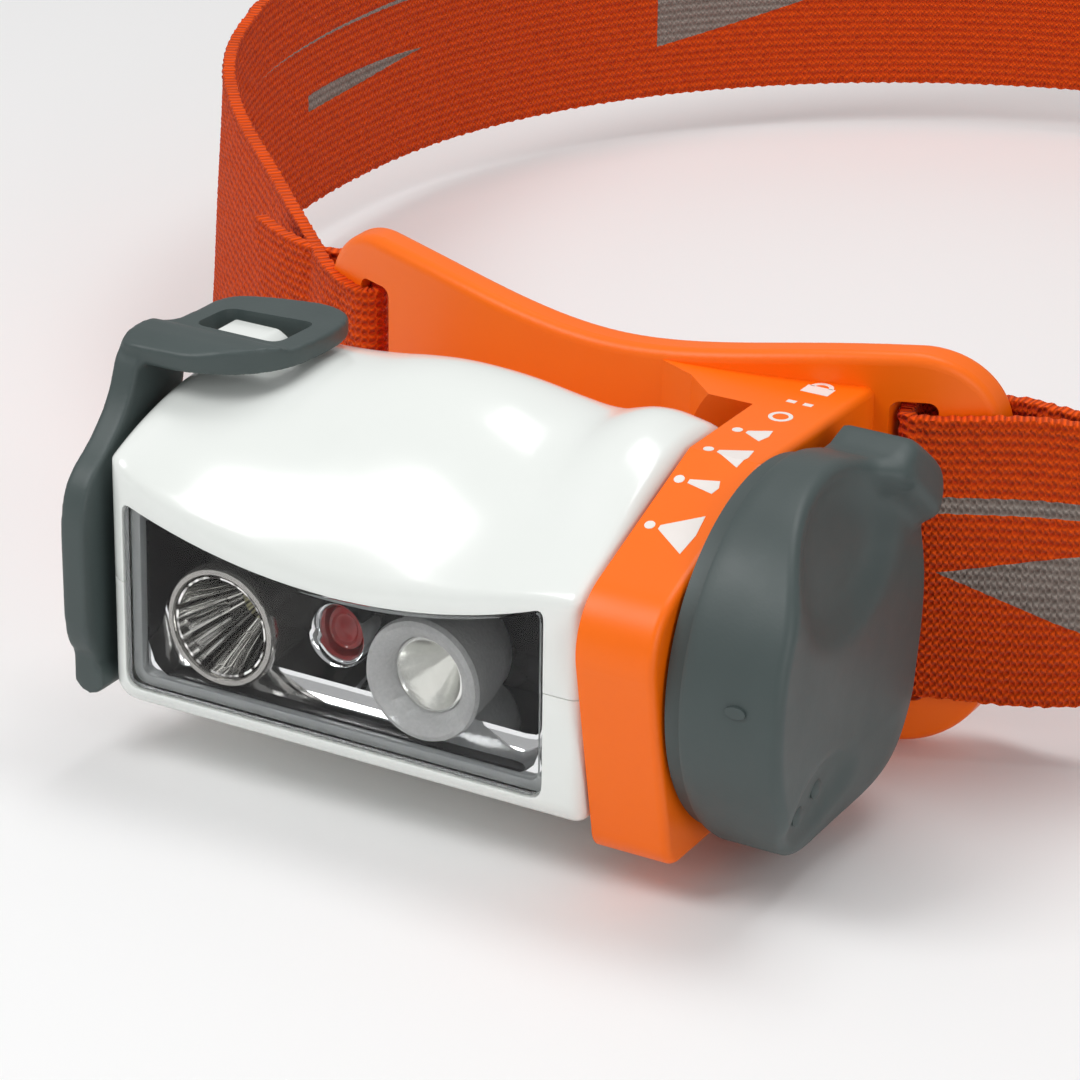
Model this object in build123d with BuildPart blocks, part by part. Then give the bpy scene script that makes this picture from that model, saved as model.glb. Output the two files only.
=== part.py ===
from build123d import *
import math
import os

# Headlamp. +X is the wearer's left, +Y points back into the head and +Z is up.
# The origin is the centre of the forehead pad's rear face. Lengths are in millimetres.

# Tilt axis, which runs along X through the dial, the arm and the lamp housing
AXIS_Y = -24.8
AXIS_Z = 0.0

# Back plate and forehead pad, all on circles about one vertical axis through the head
FOREHEAD_R = 72.5
PAD_THICKNESS = 2.5
PLATE_THICKNESS = 3.8
PLATE_REAR_R = FOREHEAD_R + PAD_THICKNESS
PLATE_FRONT_R = PLATE_REAR_R + PLATE_THICKNESS
PLATE_HALF_WIDTH = 36.9
PLATE_WAIST_Z = 17.2
EAR_X = 28.9
EAR_Z = 19.9
EAR_CORNER_Z = 11.5
SLOT_X = 29.5
SLOT_WIDTH = 4.3
SLOT_HEIGHT = 30.6

# Side arm of the bracket
ARM_X0 = 18.3
ARM_X1 = 26.0
ARM_TOP_Z = 16.5
ARM_BORE_R = 6.0
ARM_CAVITY_R = 9.0
ARM_FLOOR_X = 20.6
DRUM_CLEARANCE_R = 18.2
COVER_LIFT = 4.0

# Lamp housing
HOUSING_X0 = -33.2
HOUSING_X1 = 17.9
HOUSING_FRONT_Y = -42.0
HOUSING_BOTTOM_Z = -14.2
HOUSING_TOP_Z = 16.4
DRUM_BOTTOM_Z = -16.0
DRUM_R = 17.5
WALL = 1.8
SEAM_Z = -1.4
SEAM_GAP = 0.1

# Front window
WINDOW_X0 = -31.0
WINDOW_X1 = 14.0
WINDOW_Z0 = -12.1
WINDOW_SIDE_Z = 6.7
WINDOW_MID_Z = 2.5
LENS_THICKNESS = 1.6

# Light sources, as (x, z) on the front
SPOT = (-21.5, -4.5)
SPOT_R = 5.9
RED = (-10.9, -4.3)
RED_R = 3.1
FLOOD = (0.2, -4.55)
FLOOD_R = 5.9
OPTIC_FRONT_Y = -39.9
BOARD_Y = -29.2

# Batteries: three AAA cells lying along X
CELL_LENGTH = 44.0
CELL_R = 5.2
CELL_X0 = -29.6
CELL_CENTRES = [(-14.5, 0.0), (-22.5, 8.4), (-22.5, -8.4)]

# Dial
DIAL_X0 = 26.4
DIAL_FLANGE_THICKNESS = 1.6
DIAL_R = 18.2
DIAL_FLANGE_R = 17.3
DIAL_TAB_ANGLE = 34.0
DIAL_DEPTH = 9.8

# Latch
LATCH_PIN_X = -35.1
LATCH_PIN_Z = -12.1
LATCH_PIN_R = 0.6
LATCH_X0 = -36.9
LATCH_X1 = -34.0
PADDLE_Z0 = 16.95
PADDLE_Z1 = 19.0

# Head strap: webbing on a stadium-shaped route round the head
STRAP_WIDTH = 29.4
STRAP_THICKNESS = 1.4
STRAP_R = PLATE_FRONT_R + 0.2
STRAP_SIDE = 32.5
TAIL_END_Y = 104.0

os.makedirs("parts", exist_ok=True)


def side_plane(x):
    """The plane across X at x, whose sketches read as (y, z)."""
    return Plane.YZ.offset(x)


def front_plane(y):
    """The plane across Y at y, whose sketches read as (x, z) and extrude forwards."""
    return Plane.XZ.offset(-y)


def save(builder, name):
    """Labels a finished piece and writes its STEP file."""
    builder.part.label = name
    export_step(builder.part, f"parts/{name}.step")


def axis_disc(x0, x1, outer_r, inner_r=0.0, mode=Mode.ADD):
    """A disc or ring about the tilt axis, from x0 to x1, in the open part."""
    with BuildSketch(side_plane(x0)) as disc:
        with Locations((AXIS_Y, AXIS_Z)):
            Circle(outer_r)
            if inner_r > 0:
                Circle(inner_r, mode=Mode.SUBTRACT)
    extrude(disc.sketch, amount=x1 - x0, mode=mode)


def ring_sector(inner_r, outer_r, start, sweep):
    """A curved band about the head's centre, in the open sketch. Angles are from +X."""
    with BuildLine() as outline:
        inner = CenterArc((0, FOREHEAD_R), inner_r, start, sweep)
        outer = CenterArc((0, FOREHEAD_R), outer_r, start, sweep)
        Line(inner @ 0, outer @ 0)
        Line(inner @ 1, outer @ 1)
    make_face(outline.edges())


def window_face(margin=0.0):
    """The front window's outline, with an arched brow, in the open sketch."""
    x0 = WINDOW_X0 - margin
    x1 = WINDOW_X1 + margin
    z0 = WINDOW_Z0 - margin
    middle = ((x0 + x1) / 2, WINDOW_MID_Z + margin)
    with BuildLine() as outline:
        Polyline((x0, WINDOW_SIDE_Z + margin), (x0, z0), (x1, z0), (x1, WINDOW_SIDE_Z + margin))
        ThreePointArc((x0, WINDOW_SIDE_Z + margin), middle, (x1, WINDOW_SIDE_Z + margin))
    make_face(outline.edges())


def housing_profile(inset=0.0):
    """The housing's side outline: a wedge-topped front and a round drum, in the open sketch."""
    front = HOUSING_FRONT_Y + inset
    bottom = HOUSING_BOTTOM_Z + inset
    with BuildLine() as outline:
        Polyline(
            (AXIS_Y, bottom),
            (front, bottom),
            (front, 9.6 - inset),
            (AXIS_Y, HOUSING_TOP_Z - inset),
            close=True,
        )
    make_face(outline.edges())
    with Locations((AXIS_Y, AXIS_Z)):
        Circle(DRUM_R - inset)
    with Locations((AXIS_Y, HOUSING_TOP_Z - inset + DRUM_R), (AXIS_Y, DRUM_BOTTOM_Z + inset - DRUM_R)):
        Rectangle(4 * DRUM_R, 2 * DRUM_R, mode=Mode.SUBTRACT)


# ---- Bracket: back plate with strap ears, and the arm that carries lamp and dial ----

def plate_outline():
    """The back plate's waisted outline in the open sketch."""
    with BuildLine() as outline:
        for side in (1, -1):
            Spline((-EAR_X, side * EAR_Z), (-19, side * 19.2), (0, side * PLATE_WAIST_Z),
                   (19, side * 19.2), (EAR_X, side * EAR_Z))
        for side in (1, -1):
            for end in (1, -1):
                ThreePointArc((side * EAR_X, end * EAR_Z), (side * 34.8, end * 17.4),
                              (side * PLATE_HALF_WIDTH, end * EAR_CORNER_Z))
            Line((side * PLATE_HALF_WIDTH, EAR_CORNER_Z), (side * PLATE_HALF_WIDTH, -EAR_CORNER_Z))
    make_face(outline.edges())


with BuildPart() as bracket:
    with BuildSketch(Plane.XY.offset(-25)):
        ring_sector(PLATE_REAR_R, PLATE_FRONT_R, 235, 70)
    extrude(amount=50)
    with BuildSketch(front_plane(20)):
        plate_outline()
    extrude(amount=40, mode=Mode.INTERSECT)
    plate_rims = bracket.faces().filter_by(GeomType.CYLINDER).sort_by(SortBy.AREA)[-2:].edges()
    fillet(plate_rims, radius=1.1)
    with BuildSketch(front_plane(20)):
        with Locations((-SLOT_X, 0), (SLOT_X, 0)):
            RectangleRounded(SLOT_WIDTH, SLOT_HEIGHT, 1.0)
    extrude(amount=40, mode=Mode.SUBTRACT)
    # Gusset between plate and arm, hollowed to clear the housing's drum as it turns and its cover as it lifts
    with BuildSketch(Plane.XY.offset(-13.5)):
        with BuildLine():
            Polyline((4.0, -5.2), (10.0, -8.0), (16.0, -13.5), (19.0, -17.0), (22.0, -3.0), close=True)
        make_face()
    extrude(amount=ARM_TOP_Z + 13.5)
    lift = COVER_LIFT + 0.2
    with BuildSketch(side_plane(-5.0)):
        with Locations((AXIS_Y, AXIS_Z), (AXIS_Y, AXIS_Z + lift)):
            Circle(DRUM_CLEARANCE_R)
        with Locations((AXIS_Y, AXIS_Z + lift / 2)):
            Rectangle(2 * DRUM_CLEARANCE_R, lift)
    extrude(amount=ARM_X0 + 5.0, mode=Mode.SUBTRACT)
    # Arm: its rounded front rim carries the row of mode marks
    with BuildSketch(side_plane(ARM_X0)):
        with BuildLine():
            rear = Polyline((-23.5, ARM_TOP_Z), (-1.6, ARM_TOP_Z), (-1.6, -14.5), (-14.0, -16.6), (-37.4, -17.0))
            brow = Line((-23.5, ARM_TOP_Z), (-39.6, 10.0))
            nose = ThreePointArc(brow @ 1, (-42.9, 7.2), (-43.6, 3.0))
            shin = Line(nose @ 1, (-40.3, -14.4))
            ThreePointArc(shin @ 1, (-39.3, -16.4), rear @ 1)
        make_face()
    extrude(amount=ARM_X1 - ARM_X0)
    arm_face = bracket.faces().filter_by(Axis.X).filter_by_position(Axis.X, ARM_X1 - 0.1, ARM_X1 + 0.1)
    fillet(arm_face.edges().filter_by_position(Axis.Y, -45, -10), radius=0.8)
    axis_disc(ARM_X0 - 1, ARM_X1 + 1, ARM_BORE_R, mode=Mode.SUBTRACT)
    axis_disc(ARM_FLOOR_X, ARM_X1 + 1, ARM_CAVITY_R, mode=Mode.SUBTRACT)
    # Pocket for the dial's detent, below the cavity
    with BuildSketch(side_plane(ARM_X1 - 4.0)):
        with Locations((AXIS_Y, -12.5)):
            Circle(1.1)
    extrude(amount=6, mode=Mode.SUBTRACT)
save(bracket, "bracket")

with BuildPart() as forehead_pad:
    with BuildSketch(Plane.XY.offset(-20)):
        ring_sector(FOREHEAD_R, PLATE_REAR_R - 0.02, 240, 60)
    extrude(amount=40)
    with BuildSketch(front_plane(20)):
        RectangleRounded(49.0, 30.0, 5.0)
    extrude(amount=40, mode=Mode.INTERSECT)
save(forehead_pad, "forehead_pad")


# ---- Head strap ----

def strap_loop(inner_r, start, sweep):
    """A curved run of webbing about the head's centre, in the open sketch."""
    ring_sector(inner_r, inner_r + STRAP_THICKNESS, start, sweep)


slot_angle = math.degrees(math.acos((SLOT_X + 0.9) / STRAP_R))
with BuildPart() as head_strap:
    with BuildSketch(Plane.XY.offset(-STRAP_WIDTH / 2)):
        strap_loop(STRAP_R, 180, slot_angle)
        strap_loop(STRAP_R, 360 - slot_angle, slot_angle)
        with Locations((STRAP_R + STRAP_THICKNESS / 2, FOREHEAD_R + STRAP_SIDE / 2),
                       (-STRAP_R - STRAP_THICKNESS / 2, FOREHEAD_R + STRAP_SIDE / 2)):
            Rectangle(STRAP_THICKNESS, STRAP_SIDE)
        with BuildLine():
            back_centre = (0, FOREHEAD_R + STRAP_SIDE)
            inner = CenterArc(back_centre, STRAP_R, 0, 180)
            outer = CenterArc(back_centre, STRAP_R + STRAP_THICKNESS, 0, 180)
            Line(inner @ 0, outer @ 0)
            Line(inner @ 1, outer @ 1)
        make_face()
    extrude(amount=STRAP_WIDTH)
save(head_strap, "head_strap")

# Doubled inner layer, from the wearer's left ear back through the slider
TAIL_R = STRAP_R - STRAP_THICKNESS - 0.1
with BuildPart() as strap_tail:
    with BuildSketch(Plane.XY.offset(-STRAP_WIDTH / 2)):
        strap_loop(TAIL_R, -61, 61)
        with Locations((TAIL_R + STRAP_THICKNESS / 2, (FOREHEAD_R + TAIL_END_Y) / 2)):
            Rectangle(STRAP_THICKNESS, TAIL_END_Y - FOREHEAD_R)
    extrude(amount=STRAP_WIDTH)
save(strap_tail, "strap_tail")

SLIDER_Y = 82.5
SLIDER_LENGTH = 12.0
slider_x = (TAIL_R + STRAP_R + STRAP_THICKNESS) / 2
with BuildPart() as strap_slider:
    with BuildSketch(front_plane(SLIDER_Y + SLIDER_LENGTH)):
        with Locations((slider_x, 0)):
            RectangleRounded(7.2, 36.0, 1.6)
            Rectangle(3.5, 30.2, mode=Mode.SUBTRACT)
    extrude(amount=SLIDER_LENGTH)
    slider_ends = strap_slider.faces().filter_by(Axis.Y).edges()
    chamfer(slider_ends, length=0.4)
save(strap_slider, "strap_slider")


# ---- Lamp housing: upper and lower shells ----

def hollow_housing():
    """The whole housing shell with its window, in the open part, before it is split."""
    with BuildSketch(side_plane(HOUSING_X0)) as profile:
        housing_profile()
    extrude(profile.sketch, amount=HOUSING_X1 - HOUSING_X0)


def cut_inside():
    """Hollows the housing and opens its window, in the open part."""
    with BuildSketch(side_plane(HOUSING_X0 + WALL)) as hollow:
        housing_profile(WALL)
    extrude(hollow.sketch, amount=HOUSING_X1 - HOUSING_X0 - 2 * WALL, mode=Mode.SUBTRACT)
    with BuildSketch(front_plane(HOUSING_FRONT_Y + 4)) as window:
        window_face(0.05)
    extrude(window.sketch, amount=8, mode=Mode.SUBTRACT)


TAB_HALF = 7.4
with BuildPart() as upper_shell:
    hollow_housing()
    top_edges = upper_shell.faces().sort_by(Axis.X)[0].edges().filter_by_position(Axis.Z, 10, 20)
    chamfer(top_edges, length=0.8)
    cut_inside()
    with Locations((0, AXIS_Y, SEAM_Z + SEAM_GAP / 2 - 20)):
        Box(120, 80, 40, mode=Mode.SUBTRACT)
    # Notch that lets the cover lift clear of the pivot wall
    with Locations((HOUSING_X1, AXIS_Y, TAB_HALF / 2 - 1.5)):
        Box(2 * WALL + 0.6, 2 * TAB_HALF + 0.3, TAB_HALF + 3.3, mode=Mode.SUBTRACT)
    # Catch for the latch
    with BuildSketch(front_plane(-16.7)):
        with BuildLine():
            Polyline((-32.0, 15.8), (-32.0, 17.3), (-29.4, 17.3), (-28.3, 17.05), (-28.3, 15.8), close=True)
        make_face()
    extrude(amount=4.8)
save(upper_shell, "upper_shell")

with BuildPart() as lower_shell:
    hollow_housing()
    bottom_edges = lower_shell.faces().sort_by(Axis.X)[0].edges().filter_by_position(Axis.Z, -15, -14)
    chamfer(bottom_edges, length=0.8)
    cut_inside()
    with Locations((0, AXIS_Y, SEAM_Z - SEAM_GAP / 2 + 20)):
        Box(120, 80, 40, mode=Mode.SUBTRACT)
    # Pivot wall: a tongue that rises into the cover's notch and carries the hollow spigot
    with Locations((HOUSING_X1 - WALL / 2, AXIS_Y, (TAB_HALF + SEAM_Z) / 2)):
        Box(WALL, 2 * TAB_HALF, TAB_HALF - SEAM_Z + 0.2)
    axis_disc(HOUSING_X1 - WALL, 21.7, ARM_BORE_R - 0.05)
    axis_disc(HOUSING_X1 - WALL - 1, 22, 4.0, mode=Mode.SUBTRACT)
    axis_disc(20.9, 21.35, 7.0, 5.2, mode=Mode.SUBTRACT)
    # Ear for the latch pin
    with BuildSketch(front_plane(-33.0)):
        with Locations((LATCH_PIN_X, LATCH_PIN_Z)):
            Circle(1.05)
        with Locations((LATCH_PIN_X + 1.1, LATCH_PIN_Z)):
            Rectangle(2.2, 2.1)
        with Locations((LATCH_PIN_X, LATCH_PIN_Z)):
            Circle(LATCH_PIN_R, mode=Mode.SUBTRACT)
    extrude(amount=4.0)
save(lower_shell, "lower_shell")

with BuildPart() as shell_gasket:
    with BuildSketch(Plane.XY.offset(SEAM_Z - SEAM_GAP / 2)):
        middle = ((HOUSING_X0 + HOUSING_X1) / 2, (HOUSING_FRONT_Y - 7.3) / 2)
        with Locations(middle):
            Rectangle(HOUSING_X1 - HOUSING_X0 - 1.4, 33.2)
            Rectangle(HOUSING_X1 - HOUSING_X0 - 2.8, 31.8, mode=Mode.SUBTRACT)
        with Locations((-8.0, HOUSING_FRONT_Y - 1.6), (HOUSING_X1, AXIS_Y)):
            Rectangle(50.0, 15.2, mode=Mode.SUBTRACT)
    extrude(amount=SEAM_GAP)
save(shell_gasket, "shell_gasket")


# ---- Front optics ----

with BuildPart() as front_lens:
    with BuildSketch(front_plane(HOUSING_FRONT_Y + LENS_THICKNESS)):
        window_face(-0.05)
    extrude(amount=LENS_THICKNESS)
    fillet(front_lens.edges().filter_by(Axis.Y).group_by(Axis.Z)[0], radius=1.4)
save(front_lens, "front_lens")

TRAY_FRONT_Y = HOUSING_FRONT_Y + LENS_THICKNESS + 0.05
TRAY_BACK_Y = BOARD_Y - 1.05
with BuildPart() as optic_tray:
    with BuildSketch(front_plane(TRAY_BACK_Y)):
        window_face(-0.3)
    extrude(amount=TRAY_BACK_Y - TRAY_FRONT_Y)
    with BuildSketch(front_plane(TRAY_BACK_Y - 1.0)):
        window_face(-1.2)
    extrude(amount=20, mode=Mode.SUBTRACT)
    with BuildSketch(front_plane(TRAY_BACK_Y + 1)):
        for place, hole_r in ((SPOT, 2.6), (RED, 1.9), (FLOOD, 2.6)):
            with Locations(place):
                Circle(hole_r)
    extrude(amount=4, mode=Mode.SUBTRACT)
save(optic_tray, "optic_tray")

# Mirror floor: a bright strip that curves up at the back of the tray
FLOOR_Z = WINDOW_Z0 + 1.25
with BuildPart() as mirror_floor:
    with BuildSketch(side_plane(WINDOW_X0 + 1.3)):
        with BuildLine():
            low = Line((TRAY_FRONT_Y + 0.2, FLOOR_Z), (-34.0, FLOOR_Z))
            sweep_up = ThreePointArc(low @ 1, (-32.2, FLOOR_Z + 0.35), (-31.4, FLOOR_Z + 1.2))
            lip = Line(sweep_up @ 1, (-31.8, FLOOR_Z + 1.2))
            back = ThreePointArc(lip @ 1, (-32.5, FLOOR_Z + 0.6), (-34.0, FLOOR_Z + 0.3))
            top = Line(back @ 1, (TRAY_FRONT_Y + 0.2, FLOOR_Z + 0.3))
            Line(top @ 1, low @ 0)
        make_face()
    extrude(amount=WINDOW_X1 - WINDOW_X0 - 2.6)
save(mirror_floor, "mirror_floor")


def turned(place, points, name):
    """A piece turned about a line along Y through place: points are (radius, y) pairs."""
    with BuildPart() as piece:
        with BuildSketch(Plane.XY.offset(place[1])):
            with BuildLine():
                Polyline(*[(place[0] + radius, y) for radius, y in points], close=True)
            make_face()
        revolve(axis=Axis((place[0], 0, place[1]), (0, 1, 0)))
    save(piece, name)


turned(SPOT, [(SPOT_R, OPTIC_FRONT_Y), (SPOT_R, -39.1), (5.3, -36.5), (4.2, -33.0), (2.9, -31.4), (2.1, -31.4),
              (2.9, -32.6), (4.0, -35.0), (4.8, -37.5), (5.4, OPTIC_FRONT_Y)], "spot_reflector")
turned(SPOT, [(0, -30.35), (1.6, -30.35), (1.6, -31.0), (1.1, -31.8), (0, -32.1)], "spot_led")
turned(RED, [(RED_R, -36.4), (RED_R, -31.4), (2.5, -31.4), (2.2, -35.9), (2.6, -36.4)], "red_bezel")
turned(RED, [(0, -30.35), (1.6, -30.35), (1.6, -34.0), (1.1, -35.2), (0, -35.7)], "red_led")
turned(FLOOD, [(FLOOD_R, OPTIC_FRONT_Y), (FLOOD_R, -39.0), (4.6, -31.4), (2.2, -31.4), (2.2, -32.6),
               (2.9, -33.4), (4.9, OPTIC_FRONT_Y)], "flood_diffuser")
turned(FLOOD, [(0, -30.35), (1.6, -30.35), (1.6, -31.0), (1.1, -31.8), (0, -32.1)], "flood_led")

# ---- Electronics ----

with BuildPart() as led_board:
    with BuildSketch(front_plane(BOARD_Y)):
        with Locations(((WINDOW_X0 + WINDOW_X1) / 2, -4.0)):
            RectangleRounded(43.0, 14.0, 1.0)
        with Locations((-15.5, -9.0), (9.5, -9.0)):
            Circle(0.8, mode=Mode.SUBTRACT)
    extrude(amount=1.0)
save(led_board, "led_board")

with BuildPart() as board_screws:
    for x in (-15.5, 9.5):
        with BuildSketch(front_plane(BOARD_Y + 1.0)):
            with Locations((x, -9.0)):
                Circle(1.4)
        extrude(amount=1.0)
        with BuildSketch(front_plane(BOARD_Y)):
            with Locations((x, -9.0)):
                Circle(0.75)
        extrude(amount=1.0)
save(board_screws, "board_screws")

with BuildPart() as driver_board:
    with Locations((-8.0, -32.6, 8.2)):
        Box(38.0, 6.0, 1.0)
    with Locations((-18.0, -32.6, 9.3), (-6.0, -32.6, 9.3), (4.0, -32.6, 9.3)):
        Box(4.0, 3.6, 1.2)
save(driver_board, "driver_board")

# ---- Batteries and contacts ----


def cell_face(radius, mode=Mode.ADD):
    """Circles on the three cell centres, in the open sketch."""
    with Locations(*CELL_CENTRES):
        Circle(radius, mode=mode)


for number, centre in enumerate(CELL_CENTRES, start=1):
    flip = number == 2
    with BuildPart() as cell:
        with BuildSketch(side_plane(CELL_X0)):
            with Locations(centre):
                Circle(CELL_R)
        extrude(amount=CELL_LENGTH - 0.8)
        fillet(cell.edges(), radius=0.5)
        tip_x = CELL_X0 - 0.8 if flip else CELL_X0 + CELL_LENGTH - 0.8
        with BuildSketch(side_plane(tip_x)):
            with Locations(centre):
                Circle(1.9)
        extrude(amount=0.8)
    save(cell, f"aaa_cell_{number}")

with BuildPart() as battery_spine:
    with BuildSketch(side_plane(CELL_X0 + 1.0)):
        with BuildLine():
            Polyline(*CELL_CENTRES, close=True)
        make_face()
        cell_face(CELL_R + 0.15, mode=Mode.SUBTRACT)
    extrude(amount=CELL_LENGTH - 3.0)
save(battery_spine, "battery_spine")

with BuildPart() as contact_plate_right:
    with BuildSketch(side_plane(HOUSING_X1 - WALL - 0.45)):
        cell_face(3.6)
        with BuildLine():
            Polyline(*CELL_CENTRES, close=True)
        make_face()
        with Locations((AXIS_Y, AXIS_Z)):
            Circle(4.2, mode=Mode.SUBTRACT)
    extrude(amount=0.4)
save(contact_plate_right, "contact_plate_right")

with BuildPart() as contact_plate_left:
    with BuildSketch(side_plane(HOUSING_X0 + WALL + 0.05)):
        cell_face(3.6)
        with BuildLine():
            Polyline(*CELL_CENTRES, close=True)
        make_face()
    extrude(amount=0.3)
save(contact_plate_left, "contact_plate_left")

SPRING_SITES = [(CELL_CENTRES[0], -1), (CELL_CENTRES[2], -1), (CELL_CENTRES[1], 1)]
with BuildPart() as contact_springs:
    for centre, end in SPRING_SITES:
        if end < 0:
            base_x = HOUSING_X0 + WALL + 0.4
            tip_x = CELL_X0 - 0.05
        else:
            base_x = HOUSING_X1 - WALL - 0.5
            tip_x = CELL_X0 + CELL_LENGTH - 0.75
        with BuildSketch(side_plane(min(base_x, tip_x))):
            with Locations(centre):
                Circle(2.6)
                Circle(2.1, mode=Mode.SUBTRACT)
        extrude(amount=abs(tip_x - base_x))
save(contact_springs, "contact_springs")

# ---- Pivot between housing and arm ----

with BuildPart() as tilt_washer:
    axis_disc(HOUSING_X1 + 0.05, ARM_X0 - 0.05, 11.0, 6.3)
save(tilt_washer, "tilt_washer")

with BuildPart() as pivot_ring:
    axis_disc(20.9, 21.3, 7.4, 5.25)
    with Locations((21.1, AXIS_Y + 6.5, AXIS_Z)):
        Box(2, 4, 1.6, mode=Mode.SUBTRACT)
save(pivot_ring, "pivot_ring")

with BuildPart() as switch_board:
    axis_disc(22.2, 23.0, ARM_CAVITY_R - 0.05, 1.9)
save(switch_board, "switch_board")

with BuildPart() as slip_contacts:
    for angle in (0, 120, 240):
        y = AXIS_Y + 3.1 * math.cos(math.radians(angle))
        z = AXIS_Z + 3.1 * math.sin(math.radians(angle))
        with BuildSketch(side_plane(HOUSING_X1 + 0.5)):
            with Locations((y, z)):
                Circle(0.6)
        extrude(amount=22.1 - HOUSING_X1 - 0.5)
save(slip_contacts, "slip_contacts")

# ---- Dial ----

dial_wiper_x = 23.1
with BuildPart() as dial_wiper:
    axis_disc(dial_wiper_x, dial_wiper_x + 0.4, 6.5, 1.55)
save(dial_wiper, "dial_wiper")

with BuildPart() as dial_shaft:
    axis_disc(20.4, DIAL_X0 + 0.6, 1.5)
    axis_disc(23.6, DIAL_X0 - 0.05, 6.5)
    axis_disc(24.4, 25.4, 7.0, 5.9, mode=Mode.SUBTRACT)
    axis_disc(20.9, 21.35, 2.0, 1.1, mode=Mode.SUBTRACT)
save(dial_shaft, "dial_shaft")

with BuildPart() as dial_o_ring:
    axis_disc(24.5, 25.3, ARM_CAVITY_R - 0.08, 5.95)
    fillet(dial_o_ring.edges(), radius=0.35)
save(dial_o_ring, "dial_o_ring")

with BuildPart() as dial_clip:
    axis_disc(20.92, 21.3, 2.4, 1.15)
save(dial_clip, "dial_clip")

with BuildPart() as detent_spring:
    with BuildSketch(side_plane(ARM_X1 - 3.9)):
        with Locations((AXIS_Y, -12.5)):
            Circle(0.95)
            Circle(0.65, mode=Mode.SUBTRACT)
    extrude(amount=1.9)
save(detent_spring, "detent_spring")

with BuildPart() as detent_ball:
    with Locations((ARM_X1 - 0.95, AXIS_Y, -12.5)):
        Sphere(1.0)
save(detent_ball, "detent_ball")

with BuildPart() as dial_flange:
    axis_disc(DIAL_X0, DIAL_X0 + DIAL_FLANGE_THICKNESS, DIAL_FLANGE_R)
    axis_disc(DIAL_X0 - 0.1, DIAL_X0 + 0.65, 1.52, mode=Mode.SUBTRACT)
    with Locations((DIAL_X0, AXIS_Y, -12.5)):
        Sphere(0.6, mode=Mode.SUBTRACT)
save(dial_flange, "dial_flange")

# Grip: a deep round cap, highest towards the front, with a flat pointer tab at its rear top
GRIP_X0 = DIAL_X0 + DIAL_FLANGE_THICKNESS + 0.02
with BuildPart() as dial_grip:
    axis_disc(GRIP_X0, GRIP_X0 + DIAL_DEPTH, DIAL_R)
    tab_plane = Plane(origin=(GRIP_X0, AXIS_Y, AXIS_Z), x_dir=(0, 1, 0), z_dir=(1, 0, 0)).rotated(
        (DIAL_TAB_ANGLE, 0, 0))
    with BuildSketch(tab_plane):
        with Locations((14.0, 0)):
            RectangleRounded(12.4, 11.5, 2.4)
    extrude(amount=DIAL_DEPTH - 0.4)
    # The face falls away towards the rear and the top
    with BuildSketch(Plane.XY.offset(-30)):
        with BuildLine():
            Polyline((37.9, -44.0), (37.9, -34.0), (34.2, -9.0), (34.0, 0.0), (45.0, 0.0), (45.0, -44.0), close=True)
        make_face()
    extrude(amount=60, mode=Mode.SUBTRACT)
save(dial_grip, "dial_grip")

# ---- Latch ----

with BuildPart() as latch:
    with BuildSketch(side_plane(LATCH_X0)):
        with BuildLine():
            Polyline((-40.9, -13.8), (-43.6, -11.0), (-43.6, 5.0), (-41.5, 8.5), (-35.0, 12.0), (-31.5, PADDLE_Z1),
                     (-20.0, PADDLE_Z1), (-26.0, 10.0), (-27.5, 4.0), (-27.5, -11.5), (-30.0, -13.8), close=True)
        make_face()
    extrude(amount=LATCH_X1 - LATCH_X0)
    # Paddle over the top of the cover, with the slot that drops over the catch
    with BuildSketch(Plane.XY.offset(PADDLE_Z0)):
        with BuildLine():
            Polyline((LATCH_X0, -33.5), (LATCH_X0, -15.0), (-32.5, -12.0), (-26.5, -12.6), (-24.0, -15.5),
                     (-24.2, -28.0), (-27.5, -32.0), close=True)
        make_face()
        with Locations((-29.5, -19.1)):
            RectangleRounded(6.6, 6.6, 1.2, mode=Mode.SUBTRACT)
    extrude(amount=PADDLE_Z1 - PADDLE_Z0)
    # Knuckle round the pin, relieved so that it turns clear of the housing
    with BuildSketch(front_plane(-27.5)):
        with Locations((LATCH_PIN_X, LATCH_PIN_Z)):
            Rectangle(6.0, 3.4)
            Circle(1.7, mode=Mode.SUBTRACT)
        with Locations((LATCH_PIN_X - 2.0, LATCH_PIN_Z + 1.8)):
            Rectangle(10.0, 3.6, mode=Mode.SUBTRACT)
    extrude(amount=20, mode=Mode.SUBTRACT)
    with BuildSketch(front_plane(-28.5)):
        with Locations((LATCH_PIN_X, LATCH_PIN_Z)):
            Circle(1.65)
    extrude(amount=14.0)
    # Gap in the knuckle for the housing's ear
    with Locations((LATCH_PIN_X, -35.0, LATCH_PIN_Z)):
        Box(6.0, 4.6, 4.0, mode=Mode.SUBTRACT)
    with BuildSketch(front_plane(-20)):
        with Locations((LATCH_PIN_X, LATCH_PIN_Z)):
            Circle(LATCH_PIN_R + 0.05)
    extrude(amount=30, mode=Mode.SUBTRACT)
save(latch, "latch")

with BuildPart() as latch_pin:
    with BuildSketch(front_plane(-28.8)):
        with Locations((LATCH_PIN_X, LATCH_PIN_Z)):
            Circle(LATCH_PIN_R)
    extrude(amount=13.4)
save(latch_pin, "latch_pin")
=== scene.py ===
import math

import bmesh
import bpy
import numpy as np
from mathutils import Matrix, Vector


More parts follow.
